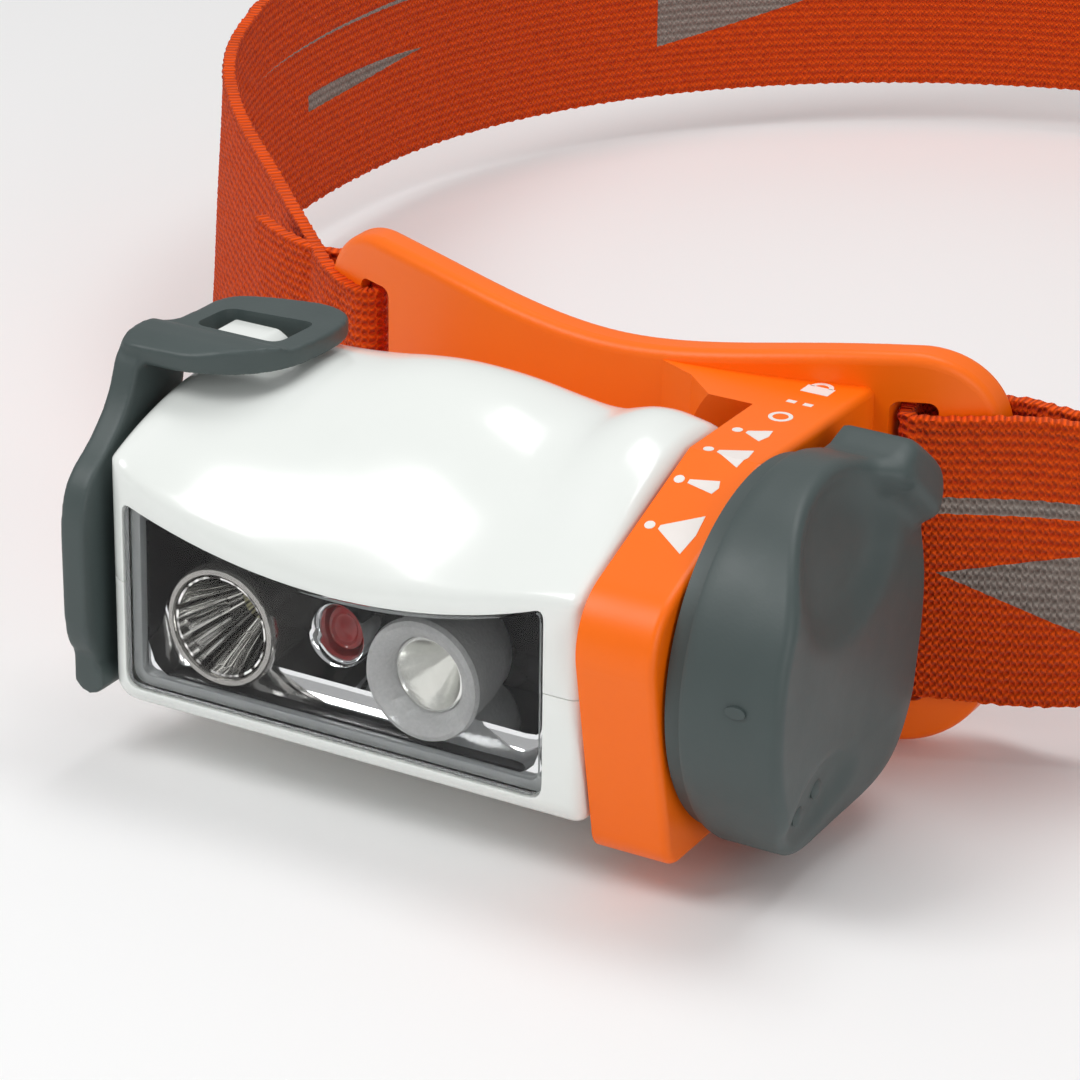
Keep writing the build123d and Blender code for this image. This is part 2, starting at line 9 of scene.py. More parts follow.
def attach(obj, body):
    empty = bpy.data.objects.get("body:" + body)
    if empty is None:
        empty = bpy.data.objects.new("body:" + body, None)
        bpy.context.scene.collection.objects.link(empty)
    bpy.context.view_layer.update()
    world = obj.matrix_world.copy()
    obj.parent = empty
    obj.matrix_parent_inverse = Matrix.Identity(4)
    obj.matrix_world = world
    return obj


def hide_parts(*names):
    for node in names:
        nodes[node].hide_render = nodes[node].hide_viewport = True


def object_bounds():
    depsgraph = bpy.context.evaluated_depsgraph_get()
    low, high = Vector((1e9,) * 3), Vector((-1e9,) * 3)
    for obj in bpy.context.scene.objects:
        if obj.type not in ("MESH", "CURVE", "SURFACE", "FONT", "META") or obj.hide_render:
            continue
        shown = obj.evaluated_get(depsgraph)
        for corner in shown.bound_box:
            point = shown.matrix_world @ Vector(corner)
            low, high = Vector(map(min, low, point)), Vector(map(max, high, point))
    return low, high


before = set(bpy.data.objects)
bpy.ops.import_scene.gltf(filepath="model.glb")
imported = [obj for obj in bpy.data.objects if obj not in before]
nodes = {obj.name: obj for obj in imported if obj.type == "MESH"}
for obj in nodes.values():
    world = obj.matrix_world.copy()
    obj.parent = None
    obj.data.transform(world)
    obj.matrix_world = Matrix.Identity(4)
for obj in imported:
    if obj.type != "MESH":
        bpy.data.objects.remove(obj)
cad_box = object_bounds()

# Shapes are worked out in millimetres in the row frame, and scaled when a mesh is made.
MM = 0.001
AXIS = (-24.8, 0.0)  # (y, z) of the tilt and dial axis


# ---------------- mesh helpers

def make_mesh(name, verts, faces, sharp=38.0):
    """An object from millimetre vertices, smooth shaded with edges kept sharp past an angle."""
    mesh = bpy.data.meshes.new(name)
    mesh.from_pydata([tuple(float(c) * MM for c in v) for v in verts], [], faces)
    mesh.validate()
    obj = bpy.data.objects.new(name, mesh)
    bpy.context.scene.collection.objects.link(obj)
    clean(obj)
    shade(obj, sharp)
    return obj


def clean(obj, join=0.0):
    """Turns every face outwards, after joining points nearer than join in millimetres."""
    bm = bmesh.new()
    bm.from_mesh(obj.data)
    if join:
        bmesh.ops.remove_doubles(bm, verts=bm.verts, dist=join * MM)
    bmesh.ops.recalc_face_normals(bm, faces=bm.faces)
    bm.to_mesh(obj.data)
    bm.free()


def shade(obj, sharp=38.0):
    """Smooth shading, with edges kept sharp past an angle in degrees."""
    obj.data.polygons.foreach_set("use_smooth", [True] * len(obj.data.polygons))
    obj.data.set_sharp_from_angle(angle=math.radians(sharp))


def loft(name, rings, sharp=38.0, caps=True):
    """A tube skinned over closed rings of the same number of points."""
    count = len(rings[0])
    verts = [p for ring in rings for p in ring]
    faces = []
    for i in range(len(rings) - 1):
        for j in range(count):
            k = (j + 1) % count
            faces.append((i * count + j, i * count + k, (i + 1) * count + k, (i + 1) * count + j))
    if caps:
        faces.append(tuple(range(count))[::-1])
        faces.append(tuple((len(rings) - 1) * count + j for j in range(count)))
    return make_mesh(name, verts, faces, sharp)


def prism(name, outline, axis, low, high, sharp=38.0):
    """A straight solid over a closed outline. axis 0: outline is (y, z); 1: (x, z); 2: (x, y)."""
    def place(p, level):
        point = list(p)
        point.insert(axis, level)
        return point
    return loft(name, [[place(p, low) for p in outline], [place(p, high) for p in outline]], sharp)


def turned(name, profile, centre, axis=1, steps=96, sharp=38.0):
    """A solid turned about a line along Y (axis 1) or X (axis 0).

    profile is a closed list of (radius, level)."""
    rings = []
    for radius, level in profile:
        ring = []
        for i in range(steps):
            a = 2 * math.pi * i / steps
            u = centre[0] + radius * math.cos(a)
            v = centre[1] + radius * math.sin(a)
            ring.append((u, level, v) if axis == 1 else (level, u, v))
        rings.append(ring)
    rings.append(rings[0])
    obj = loft(name, rings, sharp, caps=False)
    clean(obj, 0.001)
    shade(obj, sharp)
    return obj


def circle(centre, radius, steps):
    """A round closed outline."""
    return [(centre[0] + radius * math.cos(2 * math.pi * k / steps),
             centre[1] + radius * math.sin(2 * math.pi * k / steps)) for k in range(steps)]


def rounded_outline(points, radius, steps=6):
    """A closed polygon with its corners rounded. radius is one number, or one for each corner."""
    radii = [radius] * len(points) if np.isscalar(radius) else radius
    result = []
    for i, corner in enumerate(points):
        corner = np.array(corner, float)
        before = np.array(points[i - 1], float) - corner
        after = np.array(points[(i + 1) % len(points)], float) - corner
        reach_before = min(radii[i], 0.48 * np.linalg.norm(before))
        reach_after = min(radii[i], 0.48 * np.linalg.norm(after))
        start = corner + before / np.linalg.norm(before) * reach_before
        end = corner + after / np.linalg.norm(after) * reach_after
        for k in range(steps + 1):
            t = k / steps
            result.append(tuple((1 - t) ** 2 * start + 2 * t * (1 - t) * corner + t ** 2 * end))
    return result


def apply_modifier(obj, kind, **settings):
    """Adds a modifier and makes its result the object's own mesh."""
    modifier = obj.modifiers.new(kind.lower(), kind)
    for key, value in settings.items():
        setattr(modifier, key, value)
    graph = bpy.context.evaluated_depsgraph_get()
    mesh = bpy.data.meshes.new_from_object(obj.evaluated_get(graph))
    obj.modifiers.clear()
    obj.data = mesh


def boolean(obj, cutter, operation="DIFFERENCE", tangled=False):
    """Cuts with a cutter, or joins or keeps its shape. tangled allows a mesh that touches itself."""
    apply_modifier(obj, "BOOLEAN", object=cutter, operation=operation, solver="EXACT", use_self=tangled)
    bpy.data.objects.remove(cutter)


def bevel(obj, width, segments=3, limit=0.9, sharp=38.0):
    """Rounds the edges past an angle in radians. The width is in millimetres."""
    apply_modifier(obj, "BEVEL", width=width * MM, segments=segments, limit_method="ANGLE", angle_limit=limit)
    shade(obj, sharp)


def block(name, low, high):
    """A plain box, used as a cutter."""
    outline = [(low[0], low[1]), (high[0], low[1]), (high[0], high[1]), (low[0], high[1])]
    return prism(name, outline, 2, low[2], high[2])


def soften(obj, voxel, rounds, factor=0.5):
    """Remeshes a rough solid finely and relaxes it, which rounds every edge as a moulding's are."""
    apply_modifier(obj, "REMESH", mode="VOXEL", voxel_size=voxel * MM)
    apply_modifier(obj, "SMOOTH", factor=factor, iterations=rounds)
    shade(obj, 180)


def finish_piece(obj, body, slot, material, *replaced):
    """Gives a piece its material, the body it rides and the CAD nodes it stands for. The slot argument is not
    used.
    """
    obj.data.materials.clear()
    obj.data.materials.append(material)
    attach(obj, body)
    if replaced:
        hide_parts(*replaced)
    return obj


def smooth_curve(x, xs, ys):
    """A smooth curve through the points (xs, ys), read at x."""
    xs = np.asarray(xs, float)
    ys = np.asarray(ys, float)
    slopes = np.gradient(ys, xs)
    i = int(np.clip(np.searchsorted(xs, x) - 1, 0, len(xs) - 2))
    h = xs[i + 1] - xs[i]
    t = min(max((x - xs[i]) / h, 0.0), 1.0)
    return ((2 * t ** 3 - 3 * t ** 2 + 1) * ys[i] + (t ** 3 - 2 * t ** 2 + t) * h * slopes[i]
            + (3 * t ** 2 - 2 * t ** 3) * ys[i + 1] + (t ** 3 - t ** 2) * h * slopes[i + 1])


def bezier(p0, p1, p2, p3, count):
    """count points along a cubic curve, without its last point."""
    p0, p1, p2, p3 = (np.array(p, float) for p in (p0, p1, p2, p3))
    points = []
    for k in range(count):
        t = k / count
        points.append((1 - t) ** 3 * p0 + 3 * t * (1 - t) ** 2 * p1 + 3 * t * t * (1 - t) * p2 + t ** 3 * p3)
    return points


# ---------------- materials

def new_material(name, colour, roughness, **sockets):
    """A Principled material. Uniform values go on the shader's own sockets."""
    material = bpy.data.materials.new(name)
    material.use_nodes = True
    tree = material.node_tree
    shader = tree.nodes["Principled BSDF"]
    shader.inputs["Base Color"].default_value = (*colour, 1)
    shader.inputs["Roughness"].default_value = roughness
    for key, value in sockets.items():
        shader.inputs[key.replace("_", " ")].default_value = value
    return material


def node(tree, kind, **values):
    """A shader node with its properties or input values set by name."""
    new = tree.nodes.new(kind)
    for key, value in values.items():
        if hasattr(new, key):
            setattr(new, key, value)
        else:
            new.inputs[key.replace("_", " ")].default_value = value
    return new


def noise_of(tree, scale, detail=3.0):
    """Noise fixed to the object."""
    place = node(tree, "ShaderNodeTexCoord")
    noise = node(tree, "ShaderNodeTexNoise", Scale=scale, Detail=detail)
    tree.links.new(place.outputs["Object"], noise.inputs["Vector"])
    return noise


def add_tint(material, first, second, scale, detail=3.0):
    """Colour that wanders between two close tints."""
    tree = material.node_tree
    noise = noise_of(tree, scale, detail)
    mix = node(tree, "ShaderNodeMix", data_type="RGBA")
    mix.inputs["A"].default_value = (*first, 1)
    mix.inputs["B"].default_value = (*second, 1)
    tree.links.new(noise.outputs["Fac"], mix.inputs["Factor"])
    tree.links.new(mix.outputs["Result"], tree.nodes["Principled BSDF"].inputs["Base Color"])


def add_roughness(material, low, high, scale):
    """Roughness that wanders between two values, as handled plastic's does."""
    tree = material.node_tree
    noise = noise_of(tree, scale, 4.0)
    spread = node(tree, "ShaderNodeMapRange")
    spread.inputs["To Min"].default_value = low
    spread.inputs["To Max"].default_value = high
    tree.links.new(noise.outputs["Fac"], spread.inputs["Value"])
    tree.links.new(spread.outputs["Result"], tree.nodes["Principled BSDF"].inputs["Roughness"])


def add_grain(material, scale, height, detail=2.0):
    """A fine moulded or sanded grain, as a bump of the given height in millimetres."""
    tree = material.node_tree
    noise = noise_of(tree, scale, detail)
    bump = node(tree, "ShaderNodeBump", Strength=1.0, Distance=height * MM)
    tree.links.new(noise.outputs["Fac"], bump.inputs["Height"])
    tree.links.new(bump.outputs["Normal"], tree.nodes["Principled BSDF"].inputs["Normal"])


def white_plastic():
    material = new_material("white_plastic", (0.83, 0.86, 0.83), 0.2, Coat_Weight=0.35, Coat_Roughness=0.12)
    add_tint(material, (0.80, 0.835, 0.80), (0.86, 0.885, 0.86), 60)
    add_roughness(material, 0.17, 0.27, 180)
    add_grain(material, 900, 0.004)
    return material


def orange_plastic():
    material = new_material("orange_plastic", (1.0, 0.155, 0.0), 0.36, Specular_IOR_Level=0.35)
    add_tint(material, (0.98, 0.145, 0.0), (1.0, 0.175, 0.0), 70)
    add_roughness(material, 0.33, 0.45, 200)
    add_grain(material, 2600, 0.006)
    return material


def grey_rubber():
    material = new_material("grey_rubber", (0.052, 0.072, 0.070), 0.44)
    add_tint(material, (0.044, 0.061, 0.060), (0.062, 0.084, 0.082), 110, 6.0)
    add_roughness(material, 0.40, 0.56, 260)
    add_grain(material, 3000, 0.010)
    return material


def simple(name, colour, second, roughness, scale=400, grain=0.004, **sockets):
    """A material of two close tints with a fine grain."""
    material = new_material(name, colour, roughness, **sockets)
    add_tint(material, colour, second, scale)
    add_grain(material, 3 * scale, grain)
    return material


WHITE = white_plastic()
ORANGE = orange_plastic()
RUBBER = grey_rubber()
BLACK = simple("black_plastic", (0.012, 0.012, 0.013), (0.02, 0.02, 0.022), 0.22)
CHROME = new_material("chrome", (0.86, 0.87, 0.88), 0.06, Metallic=1.0)
add_roughness(CHROME, 0.04, 0.12, 500)
STEEL = simple("steel", (0.55, 0.55, 0.56), (0.62, 0.62, 0.64), 0.3, Metallic=1.0)
BRASS = simple("brass", (0.75, 0.55, 0.22), (0.80, 0.62, 0.28), 0.3, Metallic=1.0)
CLEAR = new_material("clear_lens", (1.0, 1.0, 1.0), 0.03, Transmission_Weight=1.0, IOR=1.2)
FROSTED = new_material("frosted", (0.93, 0.95, 0.94), 0.30, Transmission_Weight=0.40, IOR=1.3)
add_tint(FROSTED, (0.72, 0.74, 0.73), (1.0, 1.0, 1.0), 3000, 4.0)
add_grain(FROSTED, 2600, 0.06)
RED = new_material("red_led", (0.30, 0.003, 0.002), 0.2)
add_tint(RED, (0.16, 0.002, 0.002), (0.50, 0.006, 0.004), 1300)
LED = new_material("led", (0.85, 0.80, 0.45), 0.25, Coat_Weight=0.5)
add_tint(LED, (0.80, 0.72, 0.30), (0.90, 0.88, 0.62), 1500)
BOARD = simple("board", (0.02, 0.13, 0.05), (0.03, 0.17, 0.07), 0.4)
CELL = simple("cell", (0.05, 0.06, 0.08), (0.07, 0.08, 0.11), 0.25)
NYLON = simple("nylon", (0.72, 0.70, 0.62), (0.78, 0.76, 0.70), 0.45)
SEAL = simple("black_rubber", (0.015, 0.015, 0.015), (0.03, 0.03, 0.03), 0.6)
INK = simple("white_ink", (0.80, 0.74, 0.70), (0.88, 0.83, 0.80), 0.45)


# ---------------- lamp housing

HOUSING_X0 = -33.2
HOUSING_X1 = 17.9
FRONT_Y = -42.0
BOTTOM_Z = -14.2
BELLY_Z = -15.9
APEX_Y = -21.5
FOOT_R = 2.4
LIP = 1.1
SEAM_Z = -1.4
SEAM_HALF_GAP = 0.05
REAR_R = 17.35
REAR_START = 38
REAR_SWEEP = 100
WALL = 1.75

# Along X: height of the brow crease, height of the top, and the slope at which the top leaves the crease
CREASE_X = [-33.2, -30.0, -26.0, -21.0, -16.0, -11.0, -6.0, -1.0, 5.0, 10.0, 14.0, 17.9]
CREASE_Z = [11.4, 9.6, 7.6, 6.0, 4.8, 4.1, 4.1, 4.8, 6.0, 7.2, 8.0, 8.4]
SLOPE = [24, 30, 38, 47, 54, 57, 56, 50, 40, 32, 28, 26]
TOP_X = [-33.2, -28.0, -20.6, -16.3, -12.0, -8.0, -4.0, 0.0, 3.3, 6.5, 8.2, 10.1, 12.0, 14.1, 15.8, 17.9]
TOP_Z = [15.4, 15.9, 16.4, 17.0, 17.8, 18.25, 18.2, 17.7, 16.9, 16.35, 16.5, 17.2, 17.8, 17.9, 17.5, 16.8]


def housing_profile(x, inset):
    """The housing's (y, z) outline at x, moved inwards by inset."""
    crease = smooth_curve(x, CREASE_X, CREASE_Z)
    top = smooth_curve(x, TOP_X, TOP_Z)
    slope = math.radians(smooth_curve(x, CREASE_X, SLOPE))
    points = []
    corner = np.array([FRONT_Y + FOOT_R, BOTTOM_Z + FOOT_R])
    for k in range(7):
        a = math.radians(270 - 90 * k / 6)
        points.append(corner + FOOT_R * np.array([math.cos(a), math.sin(a)]))
    for k in range(1, 9):
        points.append(np.array([FRONT_Y, corner[1] + (crease - LIP - corner[1]) * k / 9]))
    rise = np.array([math.cos(slope), math.sin(slope)])
    lip = np.array([FRONT_Y, crease - LIP])
    bend = np.array([FRONT_Y, crease])
    leave = bend + 1.3 * rise
    points += bezier(lip, lip + (bend - lip) * 0.66, bend + (leave - bend) * 0.34, leave, 5)
    apex = np.array([APEX_Y, top])
    points += bezier(leave, leave + 7.0 * rise, apex - (7.5, 0), apex, 16)
    a = math.radians(REAR_START)
    rear = np.array([AXIS[0] + REAR_R * math.cos(a), REAR_R * math.sin(a)])
    along = np.array([math.sin(a), -math.cos(a)])
    points += bezier(apex, apex + (5.0, 0), rear - 5.4 * along, rear, 12)
    for k in range(18):
        a = math.radians(REAR_START - REAR_SWEEP * k / 17)
        points.append(np.array([AXIS[0] + REAR_R * math.cos(a), REAR_R * math.sin(a)]))
    points += bezier(points[-1], (-19.0, BELLY_Z), (-20.0, BELLY_Z), (-22.0, BELLY_Z), 4)[1:]
    points += bezier((-22.0, BELLY_Z), (-31.0, BELLY_Z), (-31.0, BOTTOM_Z), (-36.0, BOTTOM_Z), 10)
    return inset_loop(np.array(points), inset)


def inset_loop(points, inset):
    """A closed (y, z) loop moved inwards, with the places where it would fold over itself bridged."""
    tangent = np.roll(points, -1, 0) - np.roll(points, 1, 0)
    tangent /= np.linalg.norm(tangent, axis=1)[:, None]
    moved = points + np.stack([tangent[:, 1], -tangent[:, 0]], 1) * inset
    if inset <= 0:
        return moved
    starts = points[None]
    runs = (np.roll(points, -1, 0) - points)[None]
    offsets = moved[:, None] - starts
    share = np.clip((offsets * runs).sum(2) / (runs ** 2).sum(2), 0, 1)
    gap = np.linalg.norm(offsets - share[..., None] * runs, axis=2).min(1)
    good = np.flatnonzero(gap > 0.97 * inset - 0.01)
    index = np.arange(len(points))
    return np.stack([np.interp(index, good, moved[good, i], period=len(points)) for i in range(2)], 1)


def housing_solid(name, inset, left_round, right_round):
    """The housing from end to end with rounded ends, shrunk by inset."""
    x0 = HOUSING_X0 + inset
    x1 = HOUSING_X1 - inset
    stations = [(x0 + left_round * (1 - math.cos(math.radians(15 * k))),
                 inset + left_round * (1 - math.sin(math.radians(15 * k)))) for k in range(7)]
    middle = np.linspace(x0 + left_round, x1 - right_round, 58)[1:-1]
    stations += [(x, inset) for x in middle]
    stations += [(x1 - right_round * (1 - math.cos(math.radians(15 * k))),
                  inset + right_round * (1 - math.sin(math.radians(15 * k)))) for k in range(6, -1, -1)]
    rings = [[(x, y, z) for y, z in housing_profile(x, shrink)] for x, shrink in stations]
    return loft(name, rings)


WINDOW_X0 = -31.0
WINDOW_X1 = 14.0
WINDOW_FOOT_Z = -12.1
WINDOW_SIDE_Z = 6.7
WINDOW_MIDDLE_Z = 2.5


def window_outline(margin, corner=1.7):
    """The window's (x, z) outline: straight sides and foot, and an arched brow."""
    x0 = WINDOW_X0 - margin
    x1 = WINDOW_X1 + margin
    z0 = WINDOW_FOOT_Z - margin
    side = WINDOW_SIDE_Z + margin
    middle = WINDOW_MIDDLE_Z + margin
    half = (x1 - x0) / 2
    drop = side - middle
    radius = (half * half + drop * drop) / (2 * drop)
    points = [(x0, z0), (x1, z0)]
    reach = math.asin(half / radius)
    for k in range(25):
        a = reach * (1 - 2 * k / 24)
        points.append((x0 + half + radius * math.sin(a), middle + radius * (1 - math.cos(a))))
    radii = [corner, corner, corner * 0.8] + [0.2] * 23 + [corner * 0.8]
    return rounded_outline(points, radii, 5)


def build_shells():
    """The hollow housing, cut at its seam into the cover and the lower shell."""
    shell = housing_solid("housing", 0.0, 2.6, 1.3)
    boolean(shell, housing_solid("inside", WALL, 1.2, 0.8))
    boolean(shell, prism("window", window_outline(0.06), 1, -44.0, -38.5))
    lower = shell.copy()
    lower.data = shell.data.copy()
    lower.name = "lower_shell_skin"
    bpy.context.scene.collection.objects.link(lower)
    shell.name = "upper_shell_skin"
    below = block("cut", (-60, -60, -40), (40, 20, SEAM_Z + SEAM_HALF_GAP))
    boolean(shell, below, tangled=True)
    boolean(shell, block("notch", (15.5, -32.4, -5.0), (19, -11.9, 7.6)))
    above = block("cut", (-60, -60, SEAM_Z - SEAM_HALF_GAP), (40, 20, 40))
    boolean(lower, above, tangled=True)
    for skin in (shell, lower):
        clean(skin, 0.02)
        bevel(skin, 0.16, 2, math.radians(42), 36)
    finish_piece(shell, "cover", "white_plastic", WHITE, "upper_shell")
    finish_piece(lower, "housing", "white_plastic", WHITE, "lower_shell")


LATCH_PIN = (-35.1, -12.1)  # (x, z)
LATCH_EAR_R = 1.05


def build_shell_details():
    """The catch on the cover, and the lower shell's pivot tongue, spigot and latch ear."""
    catch_outline = [(-31.4, 15.0), (-25.2, 15.0), (-25.2, 17.6), (-26.4, 18.3), (-31.4, 18.3)]
    catch = prism("cover_catch", rounded_outline(catch_outline, 0.4), 1, -25.9, -22.2)
    bevel(catch, 0.3)
    finish_piece(catch, "cover", "white_plastic", WHITE)
    tongue_outline = [(-32.2, -2.0), (-17.4, -2.0), (-17.4, 7.4), (-32.2, 7.4)]
    tongue = prism("pivot_tongue", rounded_outline(tongue_outline, 2.0), 0, 16.1, 17.85)
    finish_piece(tongue, "housing", "white_plastic", WHITE)
    spigot = turned("pivot_spigot", [(5.95, 17.8), (5.95, 21.4), (5.65, 21.7), (4.3, 21.7), (4.0, 21.4),
                                     (4.0, 17.8)], AXIS, axis=0)
    finish_piece(spigot, "housing", "white_plastic", WHITE)
    round_end = [(LATCH_PIN[0] + LATCH_EAR_R * math.cos(a), LATCH_PIN[1] + LATCH_EAR_R * math.sin(a))
                 for a in np.linspace(math.pi / 2, 3 * math.pi / 2, 17)]
    root = [(-32.8, LATCH_PIN[1] - LATCH_EAR_R), (-32.8, LATCH_PIN[1] + LATCH_EAR_R)]
    ear = prism("latch_ear", round_end + root, 1, -37.0, -33.0)
    finish_piece(ear, "housing", "white_plastic", WHITE)


# ---------------- front optics

# (x, z) of the three lamps
SPOT = (-21.5, -4.5)
RED_AT = (-10.9, -4.3)
FLOOD = (0.2, -4.55)


def frame_ring(name, outer, inner, low, high):
    """A closed ring between two outlines of the same number of (x, z) points."""
    rings = [[(x, low, z) for x, z in outer], [(x, high, z) for x, z in outer],
             [(x, high, z) for x, z in inner], [(x, low, z) for x, z in inner]]
    rings.append(rings[0])
    obj = loft(name, rings, caps=False)
    clean(obj, 0.001)
    return obj


def build_window():
    """The clear pane and the pale rim behind it."""
    lens = prism("front_window", window_outline(-0.08), 1, -41.9, -40.5)
    bevel(lens, 0.25)
    finish_piece(lens, "housing", "clear_lens", CLEAR, "front_lens")
    rim = frame_ring("window_rim", window_outline(-0.1), window_outline(-1.15, 1.0), -40.45, -39.3)
    bevel(rim, 0.2, 2)
    rim_material = simple("rim_plastic", (0.50, 0.53, 0.53), (0.60, 0.63, 0.63), 0.15,
                          Transmission_Weight=0.4)
    finish_piece(rim, "housing", "clear_lens", rim_material)


def build_tray():
    """The black tray: walls, a back plate with three openings, and a bright floor with raised ends."""
    wall = frame_ring("tray_wall", window_outline(-0.3), window_outline(-1.3, 1.0), -39.25, -30.3)
    shade(wall, 30)
    finish_piece(wall, "housing", "black_plastic", BLACK, "optic_tray")
    back = prism("tray_back", window_outline(-1.25), 1, -31.2, -30.35)
    for centre, radius in ((SPOT, 2.6), (RED_AT, 1.9), (FLOOD, 2.6)):
        boolean(back, prism("hole", circle(centre, radius, 48), 1, -33, -29))
    shade(back, 30)
    finish_piece(back, "housing", "black_plastic", BLACK)
    x0 = WINDOW_X0 + 1.3
    x1 = WINDOW_X1 - 1.3
    curl = 3.6
    front = -39.6
    floor_z = -11.2
    curve = [(front + 3.2 * math.sin(a), floor_z + 2.5 * (1 - math.cos(a)))
             for a in np.linspace(0, math.pi / 2, 14)]
    section = curve + [(-34.0, -8.3), (-31.4, -7.6), (-31.4, -11.6), (front, -11.6)]
    rings = []
    for x in np.linspace(x0, x1, 61):
        near_end = max(0.0, 1 - min(x - x0, x1 - x) / curl)
        rise = 3.4 * (1 - math.sqrt(1 - near_end ** 2))
        rings.append([(x, y, min(z + rise, -2.0) if z > -11.5 else z) for y, z in section])
    floor = loft("mirror_strip", rings, 30)
    finish_piece(floor, "housing", "chrome", CHROME, "mirror_floor")


def chrome_painted_reflections():
    """Bright metal with painted reflections: dark streaks, painted into its colour, running to the foot of
    the cup.
    """
    material = new_material("chrome_painted_reflections", (0.86, 0.87, 0.88), 0.08, Metallic=1.0)
    tree = material.node_tree
    place = node(tree, "ShaderNodeTexCoord")
    centred = node(tree, "ShaderNodeVectorMath", operation="SUBTRACT")
    centred.inputs[1].default_value = (SPOT[0] * MM, 0, SPOT[1] * MM)
    split = node(tree, "ShaderNodeSeparateXYZ")
    turn = node(tree, "ShaderNodeMath", operation="ARCTAN2")
    noise = node(tree, "ShaderNodeTexNoise", noise_dimensions="1D", Scale=3.1, Detail=1.4, Roughness=0.6)
    # The ramp paints reflections into the metal's colour: dark and bright streaks by angle round the cup's
    # axis.
    ramp = node(tree, "ShaderNodeValToRGB")
    ramp.color_ramp.elements[0].position = 0.42
    ramp.color_ramp.elements[0].color = (0.05, 0.045, 0.04, 1)
    ramp.color_ramp.elements[1].position = 0.56
    ramp.color_ramp.elements[1].color = (0.92, 0.92, 0.90, 1)
    link = tree.links.new
    link(place.outputs["Object"], centred.inputs[0])
    link(centred.outputs[0], split.inputs[0])
    link(split.outputs["X"], turn.inputs[0])
    link(split.outputs["Z"], turn.inputs[1])
    link(turn.outputs[0], noise.inputs["W"])
    link(noise.outputs["Fac"], ramp.inputs["Fac"])
    link(ramp.outputs["Color"], tree.nodes["Principled BSDF"].inputs["Base Color"])
    return material


def build_spot():
    """A deep bright cup with fine facets in a clear-rimmed barrel, and the LED at its foot."""
    steps = 72
    rings = []
    facet_depth = 0.012
    for t in np.linspace(0, 1, 22):
        mouth_radius = 4.75 - 3.1 * t ** 1.1
        level = -39.6 + 8.4 * t
        ring = []
        for i in range(steps):
            a = 2 * math.pi * i / steps
            radius = mouth_radius * (1 - facet_depth * (i % 2) * math.sin(math.pi * min(1.0, t + 0.1)))
            ring.append((SPOT[0] + radius * math.cos(a), level, SPOT[1] + radius * math.sin(a)))
        rings.append(ring)
    for radius, level in ((1.9, -31.0), (5.0, -32.0), (5.05, -39.3), (4.95, -39.65)):
        rings.append([(x, level, z) for x, z in circle(SPOT, radius, steps)])
    rings.append(rings[0])
    cup = loft("spot_cup", rings, 20, caps=False)
    clean(cup, 0.001)
    shade(cup, 14)
    # The cup's dark and bright streaks are painted reflections in its colour.
    finish_piece(cup, "housing", "chrome", chrome_painted_reflections(), "spot_reflector")
    barrel = turned("spot_barrel", [(5.1, -31.0), (5.45, -31.2), (5.6, -38.6), (5.9, -38.8), (5.9, -39.5),
                                    (5.7, -39.85), (5.25, -39.9), (5.1, -39.7)], SPOT)
    smoky = simple("smoky", (0.34, 0.33, 0.31), (0.46, 0.45, 0.43), 0.14, 700, 0.03, Metallic=0.75)
    finish_piece(barrel, "housing", "chrome", smoky)
    led = turned("spot_emitter", [(0.01, -30.4), (1.5, -30.4), (1.5, -31.2), (1.25, -31.7), (0.8, -32.1),
                                  (0.01, -32.25)], SPOT, steps=40)
    finish_piece(led, "housing", "led", LED, "spot_led")


def build_red():
    """The small red lamp in its bright ring."""
    ring = turned("red_ring", [(3.1, -36.0), (3.1, -31.4), (2.15, -31.4), (2.15, -34.6), (2.35, -35.4),
                               (2.65, -36.1), (2.9, -36.3)], RED_AT)
    finish_piece(ring, "housing", "chrome", CHROME, "red_bezel")
    dome = turned("red_dome", [(0.01, -30.4), (2.1, -30.4), (2.1, -34.4), (1.9, -34.9), (1.5, -35.1),
                               (1.25, -34.9), (1.0, -34.9), (0.6, -35.2), (0.01, -35.3)], RED_AT, steps=48)
    finish_piece(dome, "housing", "red_led", RED, "red_led")


def build_flood():
    """A frosted, tapered collimator with a dished face, over the flood LED."""
    body = turned("flood_cup", [(5.9, -39.2), (5.6, -38.5), (5.1, -34.0), (4.6, -31.6), (4.2, -31.2),
                                (3.6, -31.4), (3.6, -38.0), (3.85, -38.9), (4.6, -39.7), (5.3, -39.95),
                                (5.75, -39.75)], FLOOD)
    finish_piece(body, "housing", "frosted", FROSTED, "flood_diffuser")
    core = turned("flood_core", [(0.01, -33.2), (0.9, -33.4), (1.6, -34.6), (2.9, -37.6), (3.3, -38.3),
                                 (3.55, -38.2), (3.55, -37.6), (2.2, -31.6), (0.01, -31.6)], FLOOD)
    core_white = simple("core_white", (0.88, 0.89, 0.86), (0.97, 0.97, 0.94), 0.16, 900, 0.02, Metallic=0.85)
    finish_piece(core, "housing", "frosted", core_white)
    led = turned("flood_emitter", [(0.01, -30.4), (1.6, -30.4), (1.6, -31.0), (1.2, -31.4), (0.01, -31.5)],
                 FLOOD, steps=40)
    finish_piece(led, "housing", "led", LED, "flood_led")


# ---------------- dial

GRIP_X0 = 28.02
GRIP_R = 18.1
TAB_TURN = 0.811  # radians from +Y towards +Z

# (degrees, radius) round the pointer tab
TAB_OUTLINE = [(22, 17.9), (29, 18.1), (33.0, 18.8), (36, 20.0), (39.2, 21.2), (42, 21.3), (46.5, 21.25),
               (51, 21.3), (53.6, 21.1), (56, 20.1), (59, 18.9), (63, 18.2), (70, 18.1)]


def grip_outline(angle):
    """The grip's radius at an angle from +Y towards +Z, with the pointer tab."""
    turn = math.degrees(angle) % 360
    if 22 < turn < 70:
        return float(np.interp(turn, *zip(*TAB_OUTLINE)))
    return GRIP_R - 0.2 * math.exp(-((turn - 22) / 12.0) ** 2) * (turn <= 22)


